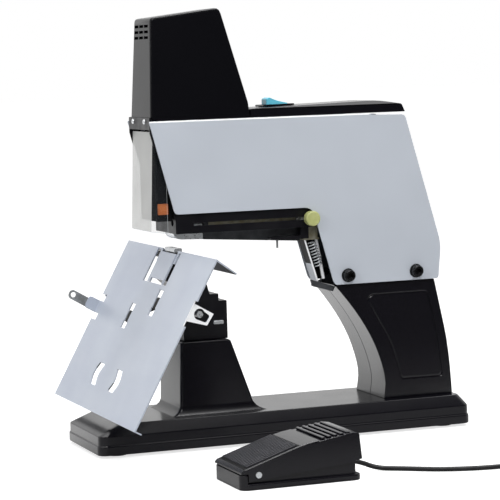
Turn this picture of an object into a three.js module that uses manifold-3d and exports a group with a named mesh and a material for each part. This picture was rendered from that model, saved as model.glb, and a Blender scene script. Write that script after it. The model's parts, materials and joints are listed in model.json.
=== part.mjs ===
// Long-reach electric stapler with a saddle table and a foot pedal.
// Millimetres, +Z up, +X towards the rear column, -Y the side with the clamping knob.
// The origin lies on the surface that the machine stands on, under the middle of its base.

import * as THREE from 'three';
import { mergeVertices } from 'three/addons/utils/BufferGeometryUtils.js';
import Module from 'manifold-3d';

const wasm = await Module();
wasm.setup();

const rad = THREE.MathUtils.degToRad;

// Clearance between pieces that meet
const GAP = 0.3;

// Base
const BASE_LENGTH = 404;
const BASE_WIDTH = 119;
const BASE_BOTTOM = 3;
const BASE_TOP = 33;
const SKIRT_HEIGHT = 9;
const BAND_HEIGHT = 10;
const BAND_INSET = 1;
const BASE_CORNER = 9;
const CREST_SIDE = 7.5;
const CREST_FRONT = 25;
const CREST_REAR = 9;
const BASE_WALL = 3;
const BAND_TOP = BASE_BOTTOM + SKIRT_HEIGHT + BAND_HEIGHT;
const CAVITY_TOP = BASE_TOP - BASE_WALL;
const PLATE_THICKNESS = 3;
const FIELD_DEPTH = 1.2;
const FIELD_LENGTH = 240;
const FIELD_WIDTH = 64;
const FOOT_RADIUS = 12;
const FOOT_INSET = 24;

// Rear column
const COLUMN_HALF_TOP = 33;
const COLUMN_HALF_BOTTOM = 37.5;
const COLUMN_TOP = 154.2;
const COLUMN_WALL = 3;
const SEAM = 0.15;
const COLUMN_FOOT_FRONT = 113;
const COLUMN_FOOT_REAR = 191;
const GROOVE_DEPTH = 1;
const GROOVE_WIDTH = 1.6;
const GROOVE_CENTRE = [140, 97];
const THROAT_CURVE = [
  [62.8, COLUMN_TOP], [79.6, 133], [93.6, 112], [104.4, 91], [112, 69], [115.2, 51],
  [COLUMN_FOOT_FRONT, BASE_TOP],
];
const BACK_CURVE = [[COLUMN_FOOT_REAR, BASE_TOP], [189.7, 62], [187, 90.5], [182, 119], [175, COLUMN_TOP]];

// Front post and anvil
const POST_FRONT = -106;
const POST_REAR_TOP = -52.6;
const POST_REAR_FOOT = -27;
const POST_HALF = 34.5;
const POST_TOP = 106.7;
const POST_FLARE = 10;
const POST_WALL = 3;
const POST_LEAN = 2.7;
const CORE_FRONT = -92;
const CORE_REAR = -62;
const CORE_HALF = 16;
const ANVIL_BLOCK_FRONT = -100;
const ANVIL_BLOCK_REAR = -53;
const ANVIL_BLOCK_TOP = 163;
const ANVIL_STEP_TOP = 153;
const ANVIL_HEEL_TOP = 145.8;
const ANVIL_BLOCK_HALF = 26;
const ANVIL_ARM_HALF = 19;
const ANVIL_HALF = 15;
const ANVIL_FRONT = -103.8;
const ANVIL_REAR = -95.4;
const ANVIL_TOP = 200.2;
const ANVIL_THICKNESS = 4;

// Arm
const ARM_TOP = 329.6;
const ARM_BOTTOM = 236;
const ARM_FRONT = -132.7;
const PANEL_OUTER = 37;
const PANEL_SHEET = 1.5;
const HEM_WIDTH = 8;
const HEM_REAR = 105;
const LEG_BOTTOM = 154.8;
const COVER_HALF = 33;
const COVER_WALL = 2.5;
const COVER_FRONT = -23.6;
const COVER_REAR = 147;
const COVER_BOTTOM = ARM_TOP + GAP;
const COVER_TOP = 342.6;
const COVER_CHAMFER = 4.3;
const PANEL_FRONT_LOW = -108.6;
const PANEL_THROAT = 38.9;
const PANEL_THROAT_LOW = 59.9;
const PANEL_LEG_FRONT = 62.4;
const PANEL_LEG_REAR = 178.4;
const PANEL_BACK = 182;
const PANEL_BACK_Z = 191.4;
const PANEL_SHOULDER = 144.7;
const PANEL_SHOULDER_Z = 327;
const REAR_WALL = 3.4;

// Steel frame inside column and arm
const FRAME_INNER = 22;
const FRAME_SHEET = 4;
const FRAME_OUTER = FRAME_INNER + FRAME_SHEET;
const FRAME_FOOT = BASE_BOTTOM + PLATE_THICKNESS;
const FRAME_FRONT = -85.7;
const FRAME_TOP = 318;
const GUIDE_FRONT = -124;
const BOSS_RADIUS = 8;
const ARM_BOSSES = [[-60, 300], [70, 300]];
const CROSS_BAR_RADIUS = 6;
const CROSS_BARS = [[150, 75], [100, 290], [-62, 252]];
const SCREW_PLACES = [[76.3, 164], [152.8, 164.2]];
const SCREW_SHANK = 4;
const SCREW_HEAD = 6;
const SCREW_HEAD_HEIGHT = 6;
const SOCKET_KEY_RADIUS = 3.4;
const WASHER_RADIUS = 7.2;
const WASHER_THICKNESS = 1.5;

// Inlet and pedal socket in the rear cover
const INLET_NEAR = -22;
const INLET_FAR = 6;
const INLET_BOTTOM = 160;
const INLET_TOP = 178;
const SOCKET_Y = 22;
const SOCKET_Z = 169;
const SOCKET_RADIUS = 7;
const SOCKET_FACE = 182.5;

// Power rocker
const ROCKER_FRONT = 0;
const ROCKER_REAR = 30;
const ROCKER_HALF = 10;
const BEZEL_TOP = 342.3;
const BEZEL_RIM = 2.4;
const ROCKER_PIVOT_X = 15;
const ROCKER_PIVOT_Z = 339.5;

// Hood over the head
const HOOD_HALF_TOP = 27;
const HOOD_HALF_BOTTOM = 34;
const HOOD_TOP_FRONT = 432.4;
const HOOD_TOP_REAR = 441.4;
const HOOD_REAR_TOP = -51.2;
const HOOD_FRONT_TOP = -124.8;
const HOOD_FRONT_FOOT = -130.1;
const HOOD_EDGE = 2.5;
const HOOD_WALL = 2.5;
const VENT_LENGTH = 15;
const VENT_HEIGHT = 2.6;
const VENT_DROP = 7.9;
const VENT_PITCH = 5.7;
const VENT_SPACING = 19.5;
const VENT_MIDDLE = 2.5;

// Head
const DRIVER_X = -99.6;
const PLUNGER_RADIUS = 8;
const PLUNGER_TOP = 400;
const RAM_TOP = 296;
const RAM_BOTTOM = 262;
const BLADE_BOTTOM = 218.5;
const BLADE_HALF = 6.4;
const BLADE_SHEET = 1.4;
const BLADE_GRIP = 11.7;
const GUIDE_HALF = 27;
const GUIDE_TOP = 335.7;
const SOLENOID_BOTTOM = GUIDE_TOP + GAP;
const SOLENOID_TOP = 410;
const SOLENOID_HALF = 22;
const SOLENOID_SHEET = 4;
const WINDING_RADIUS = 18;
const RAM_HALF_LENGTH = 8;
const RAM_HALF_WIDTH = 14;

// Slotted channel, magazine and margin gauge
const CHANNEL_TOP = 235.6;
const CHANNEL_BOTTOM = 216;
const CHANNEL_HALF = 33;
const CHANNEL_WALL = 3;
const CHANNEL_FRONT = -107;
const CHANNEL_REAR = 46;
const SLOT_Z = 225;
const SLOT_HEIGHT = 3;
const SLOT_FRONT = -88;
const MAGAZINE_HALF = 14;
const MAGAZINE_BOTTOM = 207.9;
const MAGAZINE_REAR_BOTTOM = 200.6;
const MAGAZINE_REAR = 32.8;
const MAGAZINE_WALL = 2.5;
const NOSE_FRONT = -103.6;
const NOSE_REAR = -72.4;
const NOSE_BOTTOM = 208.9;
const NOSE_TOP = 224;
const STAPLE_FLOOR = 210.4;
const STAPLE_HALF = 6.4;
const STAPLE_WIRE = 0.8;
const STAPLE_LEG = 6;
const STRIP_REAR = -40;
const PUSHER_LENGTH = 22;
const KNOB_X = 36.5;
const KNOB_RADIUS = 7.9;
const KNOB_LENGTH = 12;
const KNOB_COLLAR_RADIUS = 4.4;
const SLIDER_HALF = 8.5;
const STOP_PIN_X = 4.2;
const STOP_PIN_RADIUS = 1.1;
const STOP_PIN_BOTTOM = 195.5;

// Guard
const GUARD_HALF = 32.8;
const GUARD_SHEET = 1.6;
const GUARD_PIN_X = -126.5;
const GUARD_PIN_Z = 312;
const GUARD_PIN_RADIUS = 1.5;
const GUARD_HEM_REACH = 8.8;

// Saddle table
const RIDGE_X = -103.1;
const RIDGE_Z = 198.7;
const TABLE_TILT = 61;
const TABLE_LENGTH = 182.5;
const TABLE_HALF = 143.5;
const TABLE_SHEET = 1.5;
const FLANGE_LENGTH = 25;
const FLANGE_ANGLE = 97.6;
const OPENING_HALF = 37.5;
const OPENING_LENGTH = 38;
const TONGUE_HALF = 24;
const TONGUE_LENGTH = 37.6;
const ARM_FOOT = 31;
const HINGE_PIN_RADIUS = 2.5;
const HINGE_DROP = 7;
const HINGE_BACK = 4.5;
const ROD_RADIUS = 3.3;
const ROD_DOWN = 54.1;
const ROD_BEHIND = 10.5;
const TONGUE_SHEET = 2;
const KNUCKLE_WIDTH = 4;
const EAR_INSET = 6.5;
const EAR_Y = TABLE_HALF - EAR_INSET;
const NOTCH_DEPTH = 15.5;
const SLOT_HALF = 5.5;
const SLOT_END_HALF = 7;
const SLOT_HEAD = 8.5;
const ARC_HALF = 9;
const TABLE_SLOTS = [
  { top: 43, bottom: 71.5, foot: 8.5, y: -33, padY: -33 },
  { top: 64, bottom: 92, foot: 8, y: 30.5, padY: 30 },
];
const CATCH_DOWN = 80;
const CATCH_OUT = 8;
const CATCH_LENGTH = 21;
const CATCH_HALF_WIDTH = 5;
const RIVET_RADIUS = 2.4;
const HINGE = onTable(HINGE_DROP, HINGE_BACK + TABLE_SHEET);

// Throat mechanism
const LIP_NEAR = -30;
const SPRING_RADIUS = 3.6;
const SPRING_WIRE = 0.7;
const SPRING_TURNS = 8;

// Pedal
const PEDAL_FRONT = -134;
const PEDAL_REAR = -15.6;
const PEDAL_NEAR = -281;
const PEDAL_FAR = -205.5;
const PEDAL_FLANGE = 6;
const PEDAL_TOE_HEIGHT = 14;
const PEDAL_TOE_REAR = -127.6;
const PEDAL_PIN_X = -116.5;
const PEDAL_PIN_Z = 13.4;
const PEDAL_PIN_RADIUS = 3;
const PEDAL_BODY_REAR = -20.4;
const TREADLE_INSET = 1.4;
const TREADLE_WALL = 2.5;
const TREADLE_TOP = 44.4;
const TREADLE_CREST_X = -71;
const TREADLE_CREST_Z = 38.4;
const SWITCH_X = -52;

// Pedal cord
const CORD_RADIUS = 2.25;
const CORD_Z = CORD_RADIUS + 0.05;
const COIL_MEAN_RADIUS = 24;
const COIL_LAYERS = 4;
const COIL_TURNS_PER_LAYER = 2.125;
const COIL_PITCH = 5.1;
const COIL_X = 183;
const COIL_Y = -322;
const COIL_OUTER = COIL_MEAN_RADIUS + (COIL_PITCH * COIL_TURNS_PER_LAYER) / 2;
const COIL_LEAD = 5;
const CORD_Y = (PEDAL_NEAR + PEDAL_FAR) / 2;
const CORD_EXIT_Z = 10.6;
const RELIEF_RADIUS = 3.4;
const RELIEF_LENGTH = 12;
const RELIEF_END = PEDAL_BODY_REAR + 8.2;
const PLUG_RADIUS = 6;
const PLUG_LENGTH = 28;
const PLUG_TIP_RADIUS = 4.8;
const PLUG_TIP_LENGTH = 8;

// Route of the free stretch, chosen by hand, up to the first turn of the coil
const CORD_ROUTE = [
  [RELIEF_END + GAP, CORD_Y, CORD_EXIT_Z], [RELIEF_END + 6, CORD_Y, 10.2], [2, -243.4, 7.6], [10, -245, 4.4],
  [19, -248.6, 2.6], [28, -254, CORD_Z], [38, -261, CORD_Z], [50, -270, CORD_Z], [64, -279, CORD_Z],
  [80, -286, CORD_Z], [97, -291, CORD_Z], [115, -293.5, CORD_Z], [133, -294, CORD_Z], [150, -293.2, CORD_Z],
  [166, -292.4, CORD_Z], [COIL_X - COIL_LEAD, COIL_Y + COIL_OUTER, CORD_Z],
];

// Closed geometry to solid and back
function toSolid(geometry) {
  const bare = geometry.clone();
  bare.deleteAttribute('normal');
  bare.deleteAttribute('uv');
  const merged = mergeVertices(bare, 1e-4);
  const vertProperties = new Float32Array(merged.attributes.position.array);
  const triVerts = new Uint32Array(merged.index.array);
  return new wasm.Manifold(new wasm.Mesh({ numProp: 3, vertProperties, triVerts }));
}

function toGeometry(solid) {
  const mesh = solid.getMesh();
  const geometry = new THREE.BufferGeometry();
  geometry.setAttribute('position', new THREE.BufferAttribute(Float32Array.from(mesh.vertProperties), 3));
  geometry.setIndex(Array.from(mesh.triVerts));
  geometry.computeVertexNormals();
  return geometry;
}

function cut(body, ...tools) {
  return toGeometry(tools.reduce((solid, tool) => solid.subtract(toSolid(tool)), toSolid(body)));
}

function join(body, ...others) {
  return toGeometry(others.reduce((solid, other) => solid.add(toSolid(other)), toSolid(body)));
}

// Outline of corner points [a, b, radius], each corner rounded by its radius
function outline(points, radius = 0) {
  const shape = new THREE.Shape();
  points.forEach((point, index) => {
    const corner = new THREE.Vector2(point[0], point[1]);
    const before = points[(index + points.length - 1) % points.length];
    const after = points[(index + 1) % points.length];
    const reach = point[2] ?? radius;
    const toBefore = new THREE.Vector2(before[0], before[1]).sub(corner);
    const toAfter = new THREE.Vector2(after[0], after[1]).sub(corner);
    const start = corner.clone().add(toBefore.clone().setLength(Math.min(reach, toBefore.length() * 0.49)));
    const end = corner.clone().add(toAfter.clone().setLength(Math.min(reach, toAfter.length() * 0.49)));
    if (index === 0) shape.moveTo(start.x, start.y);
    else shape.lineTo(start.x, start.y);
    if (reach > 0) shape.quadraticCurveTo(corner.x, corner.y, end.x, end.y);
  });
  return shape;
}

// Side-view shape (x, z) standing between two values of y
function extrudeSide(shape, y0, y1, curveSegments = 4) {
  const geometry = new THREE.ExtrudeGeometry(shape, { depth: y1 - y0, bevelEnabled: false, curveSegments });
  geometry.rotateX(Math.PI / 2);
  geometry.translate(0, y1, 0);
  return geometry;
}

function side(points, y0, y1, radius = 0, curveSegments = 4) {
  return extrudeSide(outline(points, radius), y0, y1, curveSegments);
}

// Plan shape (x, y) standing between two heights
function plan(points, z0, z1, radius = 0, curveSegments = 4) {
  const shape = outline(points, radius);
  const geometry = new THREE.ExtrudeGeometry(shape, { depth: z1 - z0, bevelEnabled: false, curveSegments });
  geometry.translate(0, 0, z0);
  return geometry;
}

// Values of y between two distances from the middle, on the side of the sign, least first
function span(sign, from, to) {
  return [sign * from, sign * to].sort((a, b) => a - b);
}

function box(x0, x1, y0, y1, z0, z1) {
  const geometry = new THREE.BoxGeometry(x1 - x0, y1 - y0, z1 - z0);
  geometry.translate((x0 + x1) / 2, (y0 + y1) / 2, (z0 + z1) / 2);
  return geometry;
}

// Round bar between two points
function bar(from, to, radius, sides = 20) {
  const start = new THREE.Vector3(...from);
  const end = new THREE.Vector3(...to);
  const direction = end.clone().sub(start);
  const geometry = new THREE.CylinderGeometry(radius, radius, direction.length(), sides);
  const turn = new THREE.Quaternion().setFromUnitVectors(new THREE.Vector3(0, 1, 0), direction.normalize());
  geometry.applyQuaternion(turn);
  geometry.translate(...start.add(end).multiplyScalar(0.5).toArray());
  return geometry;
}

// Turned piece along Y: profile of [radius, y] from axis to axis
function turnedAlongY(profile, x, z, segments = 20) {
  const points = profile.map(([r, y]) => new THREE.Vector2(r, y));
  const geometry = new THREE.LatheGeometry(points, segments);
  geometry.translate(x, 0, z);
  return geometry;
}

// Rounded rectangle of plan points at one height
function ring(x0, x1, y0, y1, radius, z, steps = 4) {
  const corners = [
    [x1 - radius, y1 - radius, 0],
    [x0 + radius, y1 - radius, 90],
    [x0 + radius, y0 + radius, 180],
    [x1 - radius, y0 + radius, 270],
  ];
  const points = [];
  for (const [cx, cy, from] of corners) {
    for (let step = 0; step <= steps; step += 1) {
      const angle = rad(from + (90 * step) / steps);
      points.push([cx + radius * Math.cos(angle), cy + radius * Math.sin(angle), z]);
    }
  }
  return points;
}

// Closed body through rings of equal count, each ring anticlockwise from above, lowest first
function loft(rings) {
  const count = rings[0].length;
  const positions = rings.flat(2);
  const index = [];
  for (let level = 0; level + 1 < rings.length; level += 1) {
    for (let step = 0; step < count; step += 1) {
      const a = level * count + step;
      const b = level * count + ((step + 1) % count);
      index.push(a, b, b + count, a, b + count, a + count);
    }
  }
  for (const [level, flip] of [[0, true], [rings.length - 1, false]]) {
    const centre = new THREE.Vector3();
    rings[level].forEach((point) => centre.add(new THREE.Vector3(...point)));
    centre.divideScalar(count);
    const hub = positions.length / 3;
    positions.push(centre.x, centre.y, centre.z);
    for (let step = 0; step < count; step += 1) {
      const a = level * count + step;
      const b = level * count + ((step + 1) % count);
      if (flip) index.push(hub, b, a);
      else index.push(hub, a, b);
    }
  }
  const geometry = new THREE.BufferGeometry();
  geometry.setAttribute('position', new THREE.Float32BufferAttribute(positions, 3));
  geometry.setIndex(index);
  return geometry;
}

// Round tube along points, flat ends, rings square to the path
function tube(path, radius, sides) {
  const rings = path.map((point, index) => {
    const before = path[Math.max(index - 1, 0)];
    const after = path[Math.min(index + 1, path.length - 1)];
    const along = after.clone().sub(before).normalize();
    const across = new THREE.Vector3(0, 0, 1).cross(along).normalize();
    const up = along.clone().cross(across);
    const points = [];
    for (let step = 0; step < sides; step += 1) {
      const angle = (2 * Math.PI * step) / sides;
      const offset = across.clone().multiplyScalar(Math.cos(angle) * radius);
      offset.addScaledVector(up, Math.sin(angle) * radius);
      points.push(point.clone().add(offset).toArray());
    }
    return points;
  });
  return loft(rings);
}

// Sideways draft: y grows or shrinks with height, by a factor worked out for each z
function drafted(geometry, factor) {
  const position = geometry.attributes.position;
  for (let i = 0; i < position.count; i += 1) {
    position.setY(i, position.getY(i) * factor(position.getZ(i)));
  }
  geometry.computeVertexNormals();
  return geometry;
}

// Smooth curve through side-view points, as a list of [x, z]
function smooth(points, steps) {
  const curve = new THREE.SplineCurve(points.map(([x, z]) => new THREE.Vector2(x, z)));
  return curve.getPoints(steps).map((point) => [point.x, point.y]);
}

const root = new THREE.Group();

const finish = {
  blackPlastic: { color: 0x17181a, roughness: 0.42, metalness: 0 },
  blackSatin: { color: 0x1d1e21, roughness: 0.55, metalness: 0.1 },
  paleSheet: { color: 0xc3c9ce, roughness: 0.45, metalness: 0.1 },
  tableSheet: { color: 0xb9c0cc, roughness: 0.4, metalness: 0.4 },
  steel: { color: 0xa9acb0, roughness: 0.35, metalness: 0.9 },
  darkSteel: { color: 0x55585c, roughness: 0.4, metalness: 0.8 },
  khaki: { color: 0xa89f86, roughness: 0.45, metalness: 0.6 },
  copper: { color: 0xb06a3a, roughness: 0.4, metalness: 0.7 },
  orange: { color: 0xc4702c, roughness: 0.5, metalness: 0 },
  knob: { color: 0xc9d36e, roughness: 0.45, metalness: 0 },
  rocker: { color: 0x2aa6c4, roughness: 0.2, metalness: 0 },
  clear: { color: 0xe8ecee, roughness: 0.1, metalness: 0, transparent: true, opacity: 0.35 },
  board: { color: 0x1f6b3a, roughness: 0.6, metalness: 0 },
  rubber: { color: 0x202020, roughness: 0.9, metalness: 0 },
  cord: { color: 0x121212, roughness: 0.6, metalness: 0 },
};

function piece(name, geometry, look, parent = root) {
  const mesh = new THREE.Mesh(geometry, new THREE.MeshStandardMaterial(look));
  mesh.name = name;
  parent.add(mesh);
  return mesh;
}

// Base

function baseRing(inset, front, rear, sides, z) {
  const x0 = -BASE_LENGTH / 2 + inset + front;
  const x1 = BASE_LENGTH / 2 - inset - rear;
  const half = BASE_WIDTH / 2 - inset - sides;
  return ring(x0, x1, -half, half, BASE_CORNER - inset / 2, z);
}

function makeBase() {
  const skirtTop = BASE_BOTTOM + SKIRT_HEIGHT;
  const hull = loft([
    baseRing(0, 0, 0, 0, BASE_BOTTOM),
    baseRing(0, 0, 0, 0, skirtTop),
    baseRing(BAND_INSET, 0, 0, 0, skirtTop + 0.6),
    baseRing(BAND_INSET, 0, 0, 0, BAND_TOP),
    baseRing(0, CREST_FRONT, CREST_REAR, CREST_SIDE, BASE_TOP),
  ]);
  const cavity = loft([
    baseRing(BASE_WALL, 0, 0, 0, BASE_BOTTOM - 1),
    baseRing(BASE_WALL, 0, 0, 0, skirtTop),
    baseRing(BASE_WALL + BAND_INSET, 0, 0, 0, BAND_TOP - BASE_WALL / 2),
    baseRing(BASE_WALL + BAND_INSET, CREST_FRONT, CREST_REAR, CREST_SIDE, CAVITY_TOP),
  ]);
  const frameWell = box(COLUMN_FOOT_FRONT + 6, COLUMN_FOOT_REAR - 6, -FRAME_OUTER - 1, FRAME_OUTER + 1,
    CAVITY_TOP - 1, BASE_TOP + 1);
  const postWell = box(CORE_FRONT - 1, CORE_REAR + 1, -CORE_HALF - 1, CORE_HALF + 1,
    CAVITY_TOP - 1, BASE_TOP + 1);
  piece('base_cover', cut(hull, cavity, frameWell, postWell), finish.blackPlastic);

  const inset = BASE_WALL + GAP;
  const plateRing = (z) => ring(-BASE_LENGTH / 2 + inset, BASE_LENGTH / 2 - inset, -BASE_WIDTH / 2 + inset,
    BASE_WIDTH / 2 - inset, BASE_CORNER - inset / 2, z);
  const plate = loft([plateRing(BASE_BOTTOM), plateRing(BASE_BOTTOM + PLATE_THICKNESS)]);
  const field = box(-FIELD_LENGTH / 2, FIELD_LENGTH / 2, -FIELD_WIDTH / 2, FIELD_WIDTH / 2,
    BASE_BOTTOM - FIELD_DEPTH, BASE_BOTTOM + 1);
  piece('base_plate', join(plate, field), finish.darkSteel);

  const places = [['front_near', -1, -1], ['front_far', -1, 1], ['rear_near', 1, -1], ['rear_far', 1, 1]];
  for (const [name, along, across] of places) {
    const x = along * (BASE_LENGTH / 2 - FOOT_INSET);
    const y = across * (BASE_WIDTH / 2 - FOOT_INSET);
    piece(`foot_${name}`, bar([x, y, 0], [x, y, BASE_BOTTOM], FOOT_RADIUS, 24), finish.rubber);
  }
}

// Rear column: two half shells round the steel frame

function columnOutline(inset) {
  const front = smooth(THROAT_CURVE, 14).map(([x, z]) => [x + inset, z - inset * 0.4]);
  const back = smooth(BACK_CURVE, 8).map(([x, z]) => [x - inset, z]);
  const points = [...back, ...front].map(([x, z]) => [x, THREE.MathUtils.clamp(z, BASE_TOP, COLUMN_TOP)]);
  return points;
}

// Recessed outline on the outer face of each shell
function columnGroove(y0, y1) {
  const corners = [
    [166.7, 142.8, 4], [102.5, 142.6, 3], [98.4, 137.3, 3], [108, 118.7, 20], [121.5, 92.3, 20],
    [129.6, 67.6, 10], [133.6, 51.6, 3], [180.7, 51.6, 4], [176.5, 98, 30],
  ];
  const inner = corners.map(([x, z, r]) => {
    const pull = new THREE.Vector2(GROOVE_CENTRE[0] - x, GROOVE_CENTRE[1] - z).setLength(GROOVE_WIDTH * 1.4);
    return [x + pull.x, z + pull.y, r];
  });
  return cut(side(corners, y0, y1, 0, 3), side(inner, y0 - 1, y1 + 1, 0, 3));
}

function columnDraft(z) {
  const share = (COLUMN_TOP - z) / (COLUMN_TOP - BASE_TOP);
  return 1 + (COLUMN_HALF_BOTTOM / COLUMN_HALF_TOP - 1) * share;
}

function makeColumn() {
  const shape = new THREE.Shape(columnOutline(0).map(([x, z]) => new THREE.Vector2(x, z)));
  const inner = columnOutline(COLUMN_WALL).map(([x, z]) => {
    const lifted = z >= COLUMN_TOP - 4 ? z + 6 : z;
    return new THREE.Vector2(x, z <= BASE_TOP + 0.1 ? z - 2 : lifted);
  });
  const hollow = new THREE.Shape(inner);
  for (const [name, sign] of [['column_shell_near', -1], ['column_shell_far', 1]]) {
    const body = extrudeSide(shape, ...span(sign, SEAM, COLUMN_HALF_TOP));
    const inside = extrudeSide(hollow, ...span(sign, -1, COLUMN_HALF_TOP - COLUMN_WALL));
    const groove = columnGroove(...span(sign, COLUMN_HALF_TOP - GROOVE_DEPTH, COLUMN_HALF_TOP + 1));
    const shell = cut(body, inside, groove);
    piece(name, drafted(shell, columnDraft), finish.blackPlastic);
  }
}

// Steel frame: two plates with bosses for the panel screws, joined by cross bars on the far plate

function frameSheet(y0, y1) {
  const front = [
    [119, FRAME_FOOT], [120.5, 51], [117.5, 69], [110, 91], [99.5, 112], [86, 133], [70, 152], [70, 160],
    [52, 224], [48, ARM_BOTTOM + GAP], [FRAME_FRONT, ARM_BOTTOM + GAP],
  ];
  const back = [
    [FRAME_FRONT, FRAME_TOP], [137, FRAME_TOP], [170, 190], [168, 152], [178, 92], [182, 60],
    [182, FRAME_FOOT],
  ];
  const sheet = side([...front, ...back], y0, y1);
  const windows = [[-40, 276, 22], [20, 276, 22], [150, 110, 14]];
  return cut(sheet, ...windows.map(([x, z, r]) => bar([x, y0 - 1, z], [x, y1 + 1, z], r, 16)));
}

function makeFrame() {
  const bossEnd = PANEL_OUTER - PANEL_SHEET - GAP;
  for (const [name, sign] of [['frame_plate_near', -1], ['frame_plate_far', 1]]) {
    const bosses = [...SCREW_PLACES, ...ARM_BOSSES].map(([x, z]) => {
      return bar([x, sign * FRAME_OUTER, z], [x, sign * bossEnd, z], BOSS_RADIUS, 16);
    });
    const bores = SCREW_PLACES.map(([x, z]) => {
      return bar([x, sign * (FRAME_INNER - 1), z], [x, sign * (bossEnd + 1), z], SCREW_SHANK + GAP, 16);
    });
    const bars = CROSS_BARS.map(([x, z]) => {
      return bar([x, -FRAME_INNER, z], [x, FRAME_INNER + 1, z], CROSS_BAR_RADIUS, 16);
    });
    const plate = frameSheet(...span(sign, FRAME_INNER, FRAME_OUTER));
    const sheet = join(plate, ...bosses, ...(sign > 0 ? bars : []));
    piece(name, cut(sheet, ...bores), finish.darkSteel);
  }
}

// Front post and the anvil bracket that stands in it

function postRing(z, flare) {
  const share = (POST_TOP - z) / (POST_TOP - BASE_TOP);
  const front = POST_FRONT - POST_LEAN * share - flare;
  const rear = THREE.MathUtils.lerp(POST_REAR_TOP, POST_REAR_FOOT, share) + flare;
  const half = POST_HALF + flare * 0.5;
  return ring(front, rear, -half, half, 3, z, 2);
}

function makePost() {
  const flares = [[0, 1], [1, 0.7], [2.6, 0.42], [5, 0.18], [9, 0.02]];
  const foot = flares.map(([rise, share]) => postRing(BASE_TOP + rise, POST_FLARE * share));
  const outer = loft([...foot, postRing(POST_TOP - 1.5, 0), postRing(POST_TOP, -1.5)]);
  const hollowAt = (z) => {
    const share = (POST_TOP - z) / (POST_TOP - BASE_TOP);
    const rear = THREE.MathUtils.lerp(POST_REAR_TOP, POST_REAR_FOOT, share) - POST_WALL;
    return ring(POST_FRONT + POST_WALL, rear, -POST_HALF + POST_WALL, POST_HALF - POST_WALL, 2, z, 1);
  };
  const well = box(CORE_FRONT - 1, CORE_REAR + 1, -CORE_HALF - 1, CORE_HALF + 1, POST_TOP - 5, POST_TOP + 1);
  const hollow = loft([hollowAt(BASE_TOP - 1), hollowAt(POST_TOP - POST_WALL)]);
  piece('post_cover', cut(outer, hollow, well), finish.blackPlastic);
}

// Point on the table at rest: s down the plate from the ridge, n behind it
function onTable(s, n) {
  const down = new THREE.Vector2(-Math.cos(rad(TABLE_TILT)), -Math.sin(rad(TABLE_TILT)));
  const behind = new THREE.Vector2(Math.sin(rad(TABLE_TILT)), -Math.cos(rad(TABLE_TILT)));
  return [RIDGE_X + down.x * s + behind.x * n, RIDGE_Z + down.y * s + behind.y * n];
}

function makeAnvil() {
  const seat = POST_TOP + GAP;
  const armFront = onTable(ARM_FOOT, TONGUE_SHEET + GAP);
  const armTop = onTable(4, TONGUE_SHEET + GAP);
  const anvilSeat = ANVIL_TOP - ANVIL_THICKNESS - GAP;
  const block = side([
    [ANVIL_BLOCK_FRONT, seat], [ANVIL_BLOCK_REAR, seat], [ANVIL_BLOCK_REAR, ANVIL_HEEL_TOP],
    [ANVIL_BLOCK_REAR - 8.6, ANVIL_HEEL_TOP], [ANVIL_BLOCK_REAR - 8.6, ANVIL_STEP_TOP],
    [ANVIL_BLOCK_REAR - 18, ANVIL_STEP_TOP], [ANVIL_BLOCK_REAR - 20.6, ANVIL_BLOCK_TOP],
    [ANVIL_BLOCK_FRONT, ANVIL_BLOCK_TOP],
  ], -ANVIL_BLOCK_HALF, ANVIL_BLOCK_HALF);
  const arm = side([
    [-98, 140], [-75, 140], [-75, ANVIL_BLOCK_TOP + 1], [ANVIL_REAR + 3, 186], [ANVIL_REAR - 0.6, anvilSeat],
    [armTop[0] + 1.5, anvilSeat], armTop, armFront, [ANVIL_BLOCK_FRONT - 3, ANVIL_BLOCK_TOP - 5],
  ], -ANVIL_ARM_HALF, ANVIL_ARM_HALF);
  const core = box(CORE_FRONT, CORE_REAR, -CORE_HALF, CORE_HALF, FRAME_FOOT, seat + 1);
  const pinBore = bar([HINGE[0], -40, HINGE[1]], [HINGE[0], 40, HINGE[1]], HINGE_PIN_RADIUS + 0.15, 16);
  const slot = box(ANVIL_BLOCK_REAR - 15, ANVIL_BLOCK_REAR - 4, -ANVIL_BLOCK_HALF - 1,
    -ANVIL_BLOCK_HALF + 6, 122, 126);
  piece('anvil_bracket', cut(join(block, arm, core), pinBore, slot), finish.blackSatin);

  const plate = side([[ANVIL_FRONT, ANVIL_TOP - ANVIL_THICKNESS], [ANVIL_REAR, ANVIL_TOP - ANVIL_THICKNESS],
    [ANVIL_REAR, ANVIL_TOP], [ANVIL_FRONT, ANVIL_TOP]], -ANVIL_HALF, ANVIL_HALF, 0.8, 2);
  const clinch = [-1, 1].map((sign) => box(DRIVER_X - 1.2, DRIVER_X + 1.2, sign * 3.4 - 3, sign * 3.4 + 3,
    ANVIL_TOP - 0.8, ANVIL_TOP + 1));
  piece('anvil', cut(plate, ...clinch), finish.steel);
}

// Side panels with a folded top hem

function panelOutline() {
  return [
    [ARM_FRONT, ARM_TOP, 1], [PANEL_FRONT_LOW, ARM_BOTTOM, 4], [PANEL_THROAT, ARM_BOTTOM, 9],
    [PANEL_THROAT_LOW, LEG_BOTTOM + 4.3, 1], [PANEL_LEG_FRONT, LEG_BOTTOM, 2],
    [PANEL_LEG_REAR, LEG_BOTTOM, 3],
    [PANEL_BACK, PANEL_BACK_Z, 10], [PANEL_SHOULDER, PANEL_SHOULDER_Z, 4], [HEM_REAR + 2, ARM_TOP - 1.6, 1],
    [HEM_REAR, ARM_TOP, 1],
  ];
}

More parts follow.
